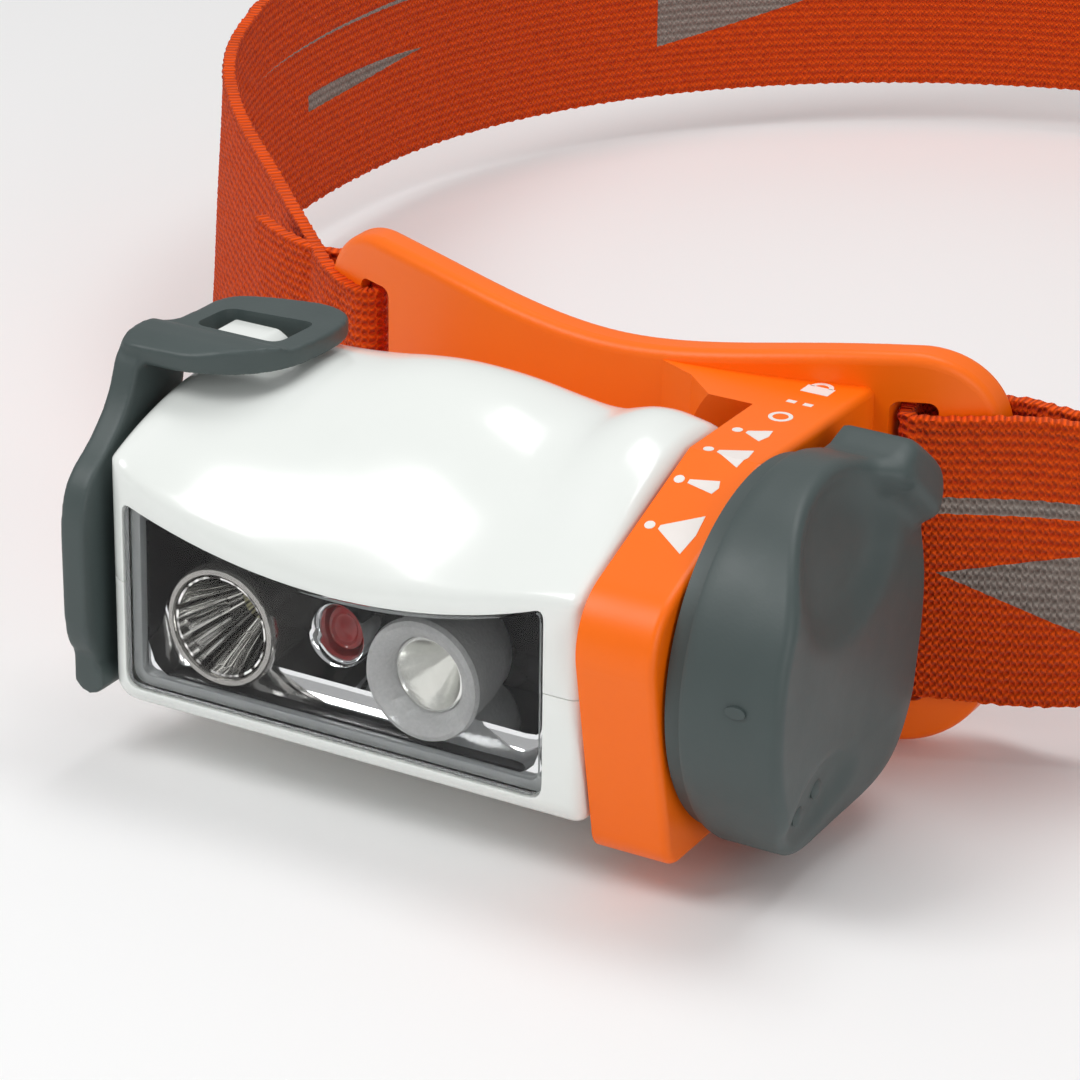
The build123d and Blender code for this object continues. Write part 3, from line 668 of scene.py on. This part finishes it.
def grip_height(y, z):
    """The height of the grip's face above the flange, at y and z from the axis."""
    height = 8.3 - 0.095 * y
    height -= 3.3 * max(0.0, (abs(z) - 8.5) / 10.0) ** 1.5
    height += 1.4 * math.exp(-((y - 9.0) ** 2 + (z + 14.0) ** 2) / 40.0)
    height -= 1.9 * math.exp(-(((y + 1.0) / 10.0) ** 2 + ((z - 10.6) / 6.2) ** 2) ** 3)
    height -= 1.25 * math.exp(-(((y + 6.5) / 7.0) ** 2 + ((z + 10.7) / 3.7) ** 2) ** 3)
    tab = y * math.cos(TAB_TURN) + z * math.sin(TAB_TURN) - 16.4
    across = abs(-y * math.sin(TAB_TURN) + z * math.cos(TAB_TURN))
    height += 2.8 / (1 + math.exp(-(tab + 0.5) / 0.34)) / (1 + math.exp((across - 4.6) / 0.5))
    return height


def build_dial():
    """The soft grip, in rings from the flange over its rounded edge to the middle, and its pips."""
    steps = 288
    edge = 1.15
    rings = []
    angles = [2 * math.pi * i / steps for i in range(steps)]

    def ring_at(share, shrink, level=None, drop=0.0):
        ring = []
        for a in angles:
            radius = (grip_outline(a) - shrink) * share
            y = radius * math.cos(a)
            z = radius * math.sin(a)
            x = level if level is not None else GRIP_X0 + grip_height(y, z) - drop
            ring.append((x, AXIS[0] + y, AXIS[1] + z))
        return ring

    for shrink, lift in ((0.5, 0.0), (0.12, 0.12), (0.0, 0.5), (0.0, 1.5), (0.0, 2.5), (0.0, 3.5)):
        rings.append(ring_at(1, shrink, GRIP_X0 + lift))
    for k in range(7):
        a = math.radians(90 * k / 6)
        rings.append(ring_at(1, edge * (1 - math.cos(a)), None, edge * (1 - math.sin(a))))
    for k in range(1, 47):
        rings.append(ring_at(1 - k / 47, edge))
    rings.append(ring_at(0.0005, 0))
    grip = loft("dial_grip_skin", rings, 50, caps=True)
    finish_piece(grip, "dial", "grey_rubber", RUBBER, "dial_grip")
    pips = []
    for y, z in ((-5.2, -10.4), (-9.0, -11.4)):
        x = GRIP_X0 + grip_height(y, z) - 0.05
        pip = turned("grip_pip", [(0.01, x), (0.9, x), (1.0, x + 0.18), (0.8, x + 0.34), (0.01, x + 0.4)],
                     (AXIS[0] + y, AXIS[1] + z), axis=0, steps=32)
        pips.append(pip)
    oval = [(33.7 + 1.0 * math.cos(a), 2.1 + 0.55 * math.sin(a))
            for a in np.linspace(0, 2 * math.pi, 28, endpoint=False)]
    pips.append(prism("grip_oval", oval, 1, AXIS[0] - 18.22, AXIS[0] - 17.6))
    for index, pip in enumerate(pips):
        pip.name = f"grip_pip_{index + 1}"
        finish_piece(pip, "dial", "grey_rubber", RUBBER)


# ---------------- latch

def build_latch():
    """A soft grey draw latch: side leg, knuckle, a broad front bar and a loop that drops over the catch."""
    leg_outline = rounded_outline([(-41.6, -10.6), (-43.7, -8.0), (-43.9, 4.5), (-42.6, 8.2), (-38.8, 10.6),
                                   (-35.6, 14.0), (-34.0, 18.9), (-26.6, 18.9), (-26.4, 14.0), (-28.0, 9.0),
                                   (-28.4, 3.0), (-27.8, -10.6)], 3.0)
    leg = prism("latch_skin", leg_outline, 0, -36.9, -34.15)
    paddle = rounded_outline([(-36.9, -34.2), (-36.9, -27.6), (-35.2, -26.4), (-34.9, -18.6), (-31.0, -16.8),
                              (-25.0, -15.4), (-21.6, -16.9), (-20.7, -21.0), (-21.4, -27.8), (-24.2, -31.6),
                              (-29.0, -33.8)], [2.0, 1.2, 1.2, 3.0, 2.0, 2.4, 2.4, 2.4, 2.4, 2.4, 2.0])
    boolean(leg, prism("paddle", paddle, 2, 16.95, 18.95), "UNION")
    front_bar = rounded_outline([(-34.0, 16.95), (-34.0, 18.4), (-32.2, 19.5), (-28.6, 19.5), (-27.0, 18.6),
                                 (-27.0, 16.95)], 0.9)
    bar = prism("front_bar", front_bar, 0, -38.0, -18.0)
    boolean(bar, prism("clip", paddle, 2, 10.0, 24.0), "INTERSECT")
    boolean(leg, bar, "UNION")
    boolean(leg, prism("knuckle", circle(LATCH_PIN, 1.7, 32), 1, -42.4, -28.6), "UNION")
    boolean(leg, block("bridge", (-36.7, -42.4, -12.1), (-34.2, -28.6, -9.6)), "UNION")
    corner = [(-38.0, 15.2), (-38.0, 21.0), (-33.6, 21.0), (-34.4, 19.2), (-36.1, 18.0)]
    boolean(leg, prism("corner", corner, 1, -46.0, -10.0))
    soften(leg, 0.26, 9)
    slot_cut = rounded_outline([(-33.0, -26.9), (-23.6, -26.9), (-23.2, -20.6), (-32.6, -21.6)], 1.4)
    boolean(leg, prism("slot", slot_cut, 2, 10.0, 24.0))
    boolean(leg, block("gap", (-38.5, -37.3, -14.6), (-31.5, -32.7, -10.1)))
    bevel(leg, 0.3, 3, math.radians(50), 40)
    finish_piece(leg, "latch", "grey_rubber", RUBBER, "latch")


# ---------------- head strap

HEAD_Y = 72.5
STRAP_R = 79.7
WEB_WIDTH = 29.4
WEB_THICKNESS = 1.3
RIB_PITCH = 1.47
RIB_LENGTH = 2.1


def arc_points(radius, start, end, count, centre=(0.0, HEAD_Y)):
    return [(centre[0] + radius * math.cos(math.radians(a)), centre[1] + radius * math.sin(math.radians(a)))
            for a in np.linspace(start, end, count)]


def strap_route():
    """The webbing's centre line in plan: round the right ear, round the head and back round the left ear."""
    bar_back = 73.9
    route = [(-50.0, 12.2), (-44.5, 8.6), (-40.0, 7.2)]
    route += arc_points(bar_back, 270 - 29.5, 270 - 26.5, 3)
    route += [(-30.6, 2.4), (-29.6, 0.8), (-30.6, -0.4), (-33.6, 0.3), (-37.6, 2.7), (-41.7, 6.4)]
    route += [(-46.2, 10.6), (-51.2, 15.3), (-56.6, 20.6), (-62.8, 26.8), (-69.6, 34.0), (-76.4, 42.4)]
    route += [(-82.6, 51.6), (-87.8, 62.0)]
    route += [(-91.4, 73.0), (-93.4, 85.0), (-93.9, 97.0)]
    route += [(93.9 * math.cos(a), 98.0 + 84.0 * math.sin(a)) for a in np.radians(np.linspace(172, 30, 19))]
    route += [(82.4, 128.0), (80.3, 115.0), (STRAP_R, 101.0), (STRAP_R, 88.0), (STRAP_R, 76.0)]
    route += [(78.9, 65.0), (77.2, 53.0), (74.0, 40.5), (69.3, 29.0), (63.0, 19.6), (56.0, 12.4), (49.0, 7.4)]
    route += [(44.1, 4.9), (40.7, 3.5), (37.3, 2.0), (33.7, 0.4), (31.0, -0.75), (29.2, -0.9), (28.3, 0.8)]
    route += [(28.3, 2.6), (29.6, 4.6)]
    route += [(33.5, 6.4), (37.0, 7.3), (40.6, 6.9), (44.6, 7.2), (49.2, 9.1), (55.4, 13.6)]
    route += [(62.0, 20.6), (68.0, 29.8)]
    route += [(72.6, 41.0), (75.7, 53.4), (77.4, 65.0)]
    route += [(STRAP_R - 1.5, 76.0), (STRAP_R - 1.5, 88.0), (STRAP_R - 1.5, 104.0)]
    return np.array(route)


def resample(points, step):
    """Even points along a smooth spline through the route."""
    curve = bpy.data.curves.new("route", "CURVE")
    curve.dimensions = "3D"
    spline = curve.splines.new("BEZIER")
    spline.bezier_points.add(len(points) - 1)
    for target, (x, y) in zip(spline.bezier_points, points):
        target.co = (x, y, 0)
        target.handle_left_type = "AUTO"
        target.handle_right_type = "AUTO"
    spline.resolution_u = 24
    holder = bpy.data.objects.new("route", curve)
    mesh = bpy.data.meshes.new_from_object(holder)
    line = np.array([v.co[:2] for v in mesh.vertices])
    bpy.data.objects.remove(holder)
    length = np.concatenate([[0], np.cumsum(np.linalg.norm(np.diff(line, axis=0), axis=1))])
    places = np.arange(0, length[-1], step)
    return np.stack([np.interp(places, length, line[:, i]) for i in range(2)], 1), places


def build_strap():
    """The webbing as one ribbon with ribbed faces and thick woven edges."""
    line, places = resample(strap_route(), 0.42)
    tangent = np.gradient(line, axis=0)
    tangent /= np.linalg.norm(tangent, axis=1)[:, None]
    outward = np.stack([tangent[:, 1], -tangent[:, 0]], 1)
    across = np.linspace(-1, 1, 67)
    half = WEB_WIDTH / 2
    rows = []
    for s, (x, y), (nx, ny) in zip(places, line, outward):
        pinch = 1 - 0.035 * math.exp(-((abs(x) - 31.0) / 6.0) ** 2) * (y < 12)
        pinch *= 1 - 0.06 * math.exp(-((x - 56.0) / 12.0) ** 4) * (y < 45)
        flare = 1.6 * math.exp(-((x + 62.0) / 24.0) ** 2) * (y < 70)
        crumple = math.exp(-((x + 34.0) / 6.0) ** 2) * (y < 14)
        wave = 0.25 * math.sin(s / 9.0) + 2.0 * math.sin(s / 1.3) * crumple
        loop = []
        for face in (1, -1):
            for v in across[::face]:
                z = v * (half + 0.08 * math.sin(s * 4.4)) * pinch
                across_ribs = v * half / RIB_PITCH
                along_ribs = s / RIB_LENGTH
                rib = 0.055 * math.cos(2 * math.pi * across_ribs) * math.cos(2 * math.pi * along_ribs)
                rib += 0.05 * math.cos(2 * math.pi * (across_ribs + along_ribs))
                edge = 0.16 if abs(v) > 0.955 else 0.0
                depth = face * (WEB_THICKNESS / 2 - (0.22 if abs(v) > 0.99 else 0.0) + edge + rib)
                ripple = wave * 0.12 * math.cos(v * 5.0) + flare * v
                loop.append((x + nx * (depth + ripple), y + ny * (depth + ripple), z))
        rows.append(loop)
    strap = loft("strap_webbing", rows, 60)
    uv = strap.data.uv_layers.new(name="weave")
    count = 2 * len(across)
    loop_vertex = np.zeros(len(strap.data.loops), int)
    strap.data.loops.foreach_get("vertex_index", loop_vertex)
    column = loop_vertex % count
    v = np.where(column < len(across), across[np.minimum(column, len(across) - 1)],
                 across[::-1][np.maximum(column - len(across), 0) % len(across)])
    u = places[loop_vertex // count]
    coords = np.stack([u / 10.0, v * half / 10.0], 1).ravel()
    uv.data.foreach_set("uv", coords)
    finish_piece(strap, "bracket", "webbing", webbing_material(places[-1] / 10.0), "head_strap", "strap_tail")


def webbing_material(length):
    """Red-orange elastic with a chunky knit, a thin grey line and a row of long grey wedges.

    UVs and length are in centimetres."""
    material = new_material("webbing", (0.72, 0.07, 0.006), 0.8, Sheen_Weight=0.04, Specular_IOR_Level=0.15)
    tree = material.node_tree
    link = tree.links.new
    shader = tree.nodes["Principled BSDF"]
    place = node(tree, "ShaderNodeUVMap", uv_map="weave")
    split = node(tree, "ShaderNodeSeparateXYZ")
    link(place.outputs["UV"], split.inputs[0])

    def maths(operation, first, second=None, third=None):
        step = node(tree, "ShaderNodeMath", operation=operation)
        for slot_index, value in enumerate((first, second, third)):
            if value is None:
                continue
            if isinstance(value, (int, float)):
                step.inputs[slot_index].default_value = value
            else:
                link(value, step.inputs[slot_index])
        return step.outputs[0]

    u = split.outputs["X"]
    v = split.outputs["Y"]
    # Knit: two crossed waves, broken by noise
    along = maths("SINE", maths("MULTIPLY", u, 2 * math.pi / 0.115))
    over = maths("SINE", maths("ADD", maths("MULTIPLY", v, 2 * math.pi / 0.098),
                               maths("MULTIPLY", maths("SIGN", along), 1.2)))
    knit = maths("MULTIPLY", along, over)
    noise = node(tree, "ShaderNodeTexNoise", Scale=9.0, Detail=4.0)
    link(place.outputs["UV"], noise.inputs["Vector"])
    rough = maths("ADD", knit, maths("MULTIPLY", maths("SUBTRACT", noise.outputs["Fac"], 0.5), 1.6))
    bump = node(tree, "ShaderNodeBump", Strength=1.0, Distance=0.00034)
    link(rough, bump.inputs["Height"])
    link(bump.outputs["Normal"], shader.inputs["Normal"])
    # Pattern: a line near the top, and wedges that open away from the lamp
    pitch = 6.4
    wedge_length = 2.6
    line_half = 0.085
    from_lamp = maths("SUBTRACT", length - 0.6, u)
    taper = maths("MINIMUM", maths("MAXIMUM", maths("MULTIPLY", maths("SUBTRACT", u, 12.0), 0.08), 0.0), 1.0)
    from_line = maths("ABSOLUTE", maths("SUBTRACT", v, 0.59))
    line = maths("LESS_THAN", from_line, maths("MULTIPLY", taper, line_half))
    phase = maths("MULTIPLY", maths("FRACT", maths("DIVIDE", from_lamp, pitch)), pitch)
    spread = maths("MULTIPLY", phase, taper)
    height = maths("ADD", v, 0.12)
    upper = maths("LESS_THAN", height, maths("MULTIPLY", spread, 0.19))
    lower = maths("LESS_THAN", maths("MULTIPLY", height, -1.0), maths("MULTIPLY", spread, 0.40))
    wedge = maths("MULTIPLY", maths("MULTIPLY", upper, lower), maths("LESS_THAN", phase, wedge_length))
    pattern = maths("MAXIMUM", line, wedge)
    dark = node(tree, "ShaderNodeMix", data_type="RGBA")
    dark.inputs["A"].default_value = (0.50, 0.018, 0.001, 1)
    dark.inputs["B"].default_value = (1.0, 0.105, 0.002, 1)
    shadow = maths("MULTIPLY_ADD", rough, 0.38, 0.62)
    link(shadow, dark.inputs["Factor"])
    grey = node(tree, "ShaderNodeMix", data_type="RGBA")
    grey.inputs["A"].default_value = (0.16, 0.11, 0.09, 1)
    grey.inputs["B"].default_value = (0.42, 0.36, 0.32, 1)
    link(shadow, grey.inputs["Factor"])
    both = node(tree, "ShaderNodeMix", data_type="RGBA")
    link(pattern, both.inputs["Factor"])
    link(dark.outputs["Result"], both.inputs["A"])
    link(grey.outputs["Result"], both.inputs["B"])
    link(both.outputs["Result"], shader.inputs["Base Color"])
    return material


PAD_HALF_WIDTH = 24.5
PAD_HALF_HEIGHT = 15.0
PAD_CORNER_R = 5.0
PAD_REAR_R = 74.92


def pad_point(x, z):
    """The point of the pad's face over (x, z), with its corners rounded, its crown and its sunken seam."""
    edge = min(PAD_HALF_WIDTH - abs(x), PAD_HALF_HEIGHT - abs(z))
    past_x = max(0.0, abs(x) - (PAD_HALF_WIDTH - PAD_CORNER_R))
    past_z = max(0.0, abs(z) - (PAD_HALF_HEIGHT - PAD_CORNER_R))
    if past_x and past_z:
        reach = math.hypot(past_x, past_z)
        if reach > PAD_CORNER_R:
            x = math.copysign(PAD_HALF_WIDTH - PAD_CORNER_R + past_x * PAD_CORNER_R / reach, x)
            z = math.copysign(PAD_HALF_HEIGHT - PAD_CORNER_R + past_z * PAD_CORNER_R / reach, z)
        edge = max(0.0, PAD_CORNER_R - reach)
    crown = 1.75 * (1 - math.exp(-edge / 1.1))
    seam = 0.35 * math.exp(-((edge - 2.2) / 0.45) ** 2)
    radius = 74.3 - crown + seam
    angle = x / 75.0
    return (radius * math.sin(angle), HEAD_Y - radius * math.cos(angle), z)


def build_pad():
    """The forehead pad: a crowned foam pad with a sewn edge, on the plate's inner curve."""
    steps_x = 60
    steps_z = 40
    width = steps_z + 1
    verts = [pad_point(-PAD_HALF_WIDTH + 2 * PAD_HALF_WIDTH * i / steps_x,
                       -PAD_HALF_HEIGHT + 2 * PAD_HALF_HEIGHT * j / steps_z)
             for i in range(steps_x + 1) for j in range(width)]
    faces = [(i * width + j, i * width + j + 1, (i + 1) * width + j + 1, (i + 1) * width + j)
             for i in range(steps_x) for j in range(steps_z)]
    border = [i * width for i in range(steps_x + 1)]
    border += [steps_x * width + j for j in range(1, width)]
    border += [i * width + steps_z for i in range(steps_x - 1, -1, -1)]
    border += list(range(steps_z - 1, 0, -1))
    base = len(verts)
    for index in border:
        x, y, z = verts[index]
        scale = PAD_REAR_R / math.hypot(x, HEAD_Y - y)
        verts.append((x * scale, HEAD_Y - (HEAD_Y - y) * scale, z))
    centre = len(verts)
    verts.append((0, HEAD_Y - PAD_REAR_R, 0))
    count = len(border)
    for k in range(count):
        after = (k + 1) % count
        faces.append((border[k], border[after], base + after, base + k))
        faces.append((base + k, base + after, centre))
    pad = make_mesh("forehead_pad_skin", verts, faces, 60)
    clean(pad, 0.005)
    shade(pad, 60)
    material = simple("pad_foam", (0.035, 0.035, 0.038), (0.06, 0.06, 0.065), 0.9, 1500, 0.03,
                      Sheen_Weight=0.4)
    finish_piece(pad, "bracket", "pad_foam", material, "forehead_pad")


# ---------------- marks on the arm

FOLD_S = 21.5  # where the rim folds from its top down its slope
MARK_X = 21.9

# (y, z) of the rim, from the back plate over the arm's top and down its front
BAND = [(-2.0, 16.5), (-23.5, 16.5), (-39.6, 10.0), (-42.2, 8.3), (-43.4, 5.4), (-43.6, 3.0), (-40.3, -14.4)]


def band_point(x, s, lift=0.03):
    """A point on the arm's rim: x across, s millimetres forward from y = -2 along its side outline."""
    left = s
    for (y0, z0), (y1, z1) in zip(BAND, BAND[1:]):
        run = math.hypot(y1 - y0, z1 - z0)
        if left <= run:
            t = left / run
            normal = ((z1 - z0) / run, -(y1 - y0) / run)
            if normal[1] < -0.5:
                normal = (-normal[0], -normal[1])
            return (x, y0 + (y1 - y0) * t + normal[0] * lift, z0 + (z1 - z0) * t + normal[1] * lift)
        left -= run
    raise ValueError("past the end of the arm")


def clip_outline(outline, level, above):
    """The part of an (x, s) outline on one side of a fold in the rim."""
    kept = []
    for (x0, s0), (x1, s1) in zip(outline, outline[1:] + outline[:1]):
        inside0 = (s0 >= level) == above
        inside1 = (s1 >= level) == above
        if inside0:
            kept.append((x0, s0))
        if inside0 != inside1:
            t = (level - s0) / (s1 - s0)
            kept.append((x0 + t * (x1 - x0), level + (1e-4 if above else -1e-4)))
    return kept


def decal(name, outlines):
    """Thin ink on the arm's rim. Each outline is a closed list of (x, s)."""
    verts = []
    faces = []
    halves = [clip_outline(outline, FOLD_S, above) for outline in outlines for above in (False, True)]
    for outline in (half for half in halves if len(half) > 2):
        start = len(verts)
        verts += [band_point(x, s, 0.03) for x, s in outline]
        verts += [band_point(x, s, -0.02) for x, s in outline]
        count = len(outline)
        faces.append(tuple(range(start, start + count)))
        faces.append(tuple(range(start + 2 * count - 1, start + count - 1, -1)))
        for k in range(count):
            j = (k + 1) % count
            faces.append((start + k, start + count + k, start + count + j, start + j))
    mark = make_mesh(name, verts, faces)
    finish_piece(mark, "bracket", "white_plastic", INK)


def hoop(x, s, outer, inner, start, sweep, count=20):
    """A broad arc as a closed outline."""
    angles = [math.radians(start + sweep * k / count) for k in range(count + 1)]
    return ([(x + outer * math.cos(a), s + outer * math.sin(a)) for a in angles]
            + [(x + inner * math.cos(a), s + inner * math.sin(a)) for a in reversed(angles)])


def build_marks():
    """A padlock, two dashes, a ring and four dot-and-cone figures, in a row along the rim."""
    lock_body = [(20.5, 2.5), (23.3, 2.5), (23.3, 4.2), (20.5, 4.2)]
    decal("mark_lock", [lock_body, hoop(MARK_X, 2.6, 1.15, 0.7, 180, 180)])
    decal("mark_low", [[(20.6, 6.7), (21.5, 6.7), (21.5, 7.3), (20.6, 7.3)],
                       [(22.3, 6.7), (23.2, 6.7), (23.2, 7.3), (22.3, 7.3)]])
    decal("mark_off", [hoop(MARK_X, 10.8, 1.15, 0.75, start, 180) for start in (0, 180)])
    beams = ((20.0, 15.6, 1.4, 2.9), (19.9, 20.9, 1.7, 3.7), (19.3, 25.5, 0.85, 3.7), (19.5, 31.6, 2.5, 4.3))
    for index, (x, s, half, reach) in enumerate(beams):
        cone = [(x + 0.95, s - 0.25), (x + reach, s - half), (x + reach + 0.3, s), (x + reach, s + half),
                (x + 0.95, s + 0.25)]
        decal(f"mark_beam_{index + 1}", [circle((x, s), 0.5, 20), cone])


# ---------------- CAD nodes that stay

def dress_cad_nodes():
    """The materials of the CAD solids that show as they are."""
    finishes = {
        "bracket": ORANGE, "dial_flange": RUBBER, "strap_slider": RUBBER, "shell_gasket": SEAL,
        "led_board": BOARD, "driver_board": BOARD, "switch_board": BOARD, "board_screws": STEEL,
        "aaa_cell_1": CELL, "aaa_cell_2": CELL, "aaa_cell_3": CELL, "battery_spine": BLACK,
        "contact_plate_left": BRASS, "contact_plate_right": BRASS, "contact_springs": STEEL,
        "tilt_washer": NYLON, "pivot_ring": STEEL, "slip_contacts": BRASS, "dial_wiper": BRASS,
        "dial_shaft": BLACK, "dial_o_ring": SEAL, "dial_clip": STEEL, "detent_spring": STEEL,
        "detent_ball": STEEL, "latch_pin": STEEL}
    for name, material in finishes.items():
        for place in nodes[name].material_slots:
            place.material = material


# ---------------- stage, light and camera

def build_stage():
    """A pale floor just under the lamp, and a white studio world."""
    level = cad_box[0][2] - 0.0008
    size = 6.0
    corners = [(-size, -size, level), (size, -size, level), (size, size, level), (-size, size, level)]
    mesh = bpy.data.meshes.new("floor")
    mesh.from_pydata(corners, [], [(0, 1, 2, 3)])
    floor = bpy.data.objects.new("floor", mesh)
    bpy.context.scene.collection.objects.link(floor)
    material = new_material("floor", (0.92, 0.92, 0.92), 0.7)
    mesh.materials.append(material)
    world = bpy.data.worlds.new("studio")
    bpy.context.scene.world = world
    world.use_nodes = True
    world.node_tree.nodes["Background"].inputs["Color"].default_value = (1.0, 1.0, 1.0, 1)
    world.node_tree.nodes["Background"].inputs["Strength"].default_value = 0.43


def area_light(name, place, aim, size, power):
    """A soft box at place, turned towards aim, in metres and watts."""
    light = bpy.data.lights.new(name, "AREA")
    light.shape = "RECTANGLE"
    light.size = size[0]
    light.size_y = size[1]
    light.energy = power
    obj = bpy.data.objects.new(name, light)
    obj.location = place
    obj.rotation_euler = (Vector(aim) - Vector(place)).to_track_quat("-Z", "Y").to_euler()
    bpy.context.scene.collection.objects.link(obj)


def build_lights():
    """A key light at the front left, a side light at the right and a broad one overhead."""
    centre = (0.0, -0.02, 0.0)
    area_light("key", (-0.25, -0.35, 0.55), centre, (0.30, 0.30), 1.85)
    area_light("side", (0.55, -0.30, 0.25), centre, (0.20, 0.35), 0.7)
    area_light("top", (0.05, 0.15, 0.60), centre, (0.45, 0.20), 1.3)


CAMERA_AIM = Vector((9.29, -34.51, 9.49))
CAMERA_DISTANCE = 401.25
CAMERA_LENS = 150.0


def build_camera():
    """The camera, from the point that it looks at, its distance and its turn, height and roll."""
    azimuth, elevation, roll = (math.radians(a) for a in (30.0, 24.0, 0.7))
    level_right = Vector((math.cos(azimuth), math.sin(azimuth), 0))
    back = Vector((math.sin(azimuth) * math.cos(elevation), -math.cos(azimuth) * math.cos(elevation),
                   math.sin(elevation)))
    level_up = back.cross(level_right)
    right = math.cos(roll) * level_right + math.sin(roll) * level_up
    up = math.cos(roll) * level_up - math.sin(roll) * level_right
    camera = bpy.data.objects.new("camera", bpy.data.cameras.new("camera"))
    camera.data.sensor_width = 36.0
    camera.data.lens = CAMERA_LENS
    turn = Matrix((right, up, back)).transposed().to_4x4()
    camera.matrix_world = Matrix.Translation((CAMERA_AIM + back * CAMERA_DISTANCE) * MM) @ turn
    bpy.context.scene.collection.objects.link(camera)
    bpy.context.scene.camera = camera
    bpy.context.scene.view_settings.view_transform = "Standard"


build_shells()
build_shell_details()
build_window()
build_tray()
build_spot()
build_red()
build_flood()
build_dial()
build_latch()
build_strap()
build_pad()
build_marks()
dress_cad_nodes()
build_stage()
build_lights()
build_camera()

bpy.context.view_layer.update()
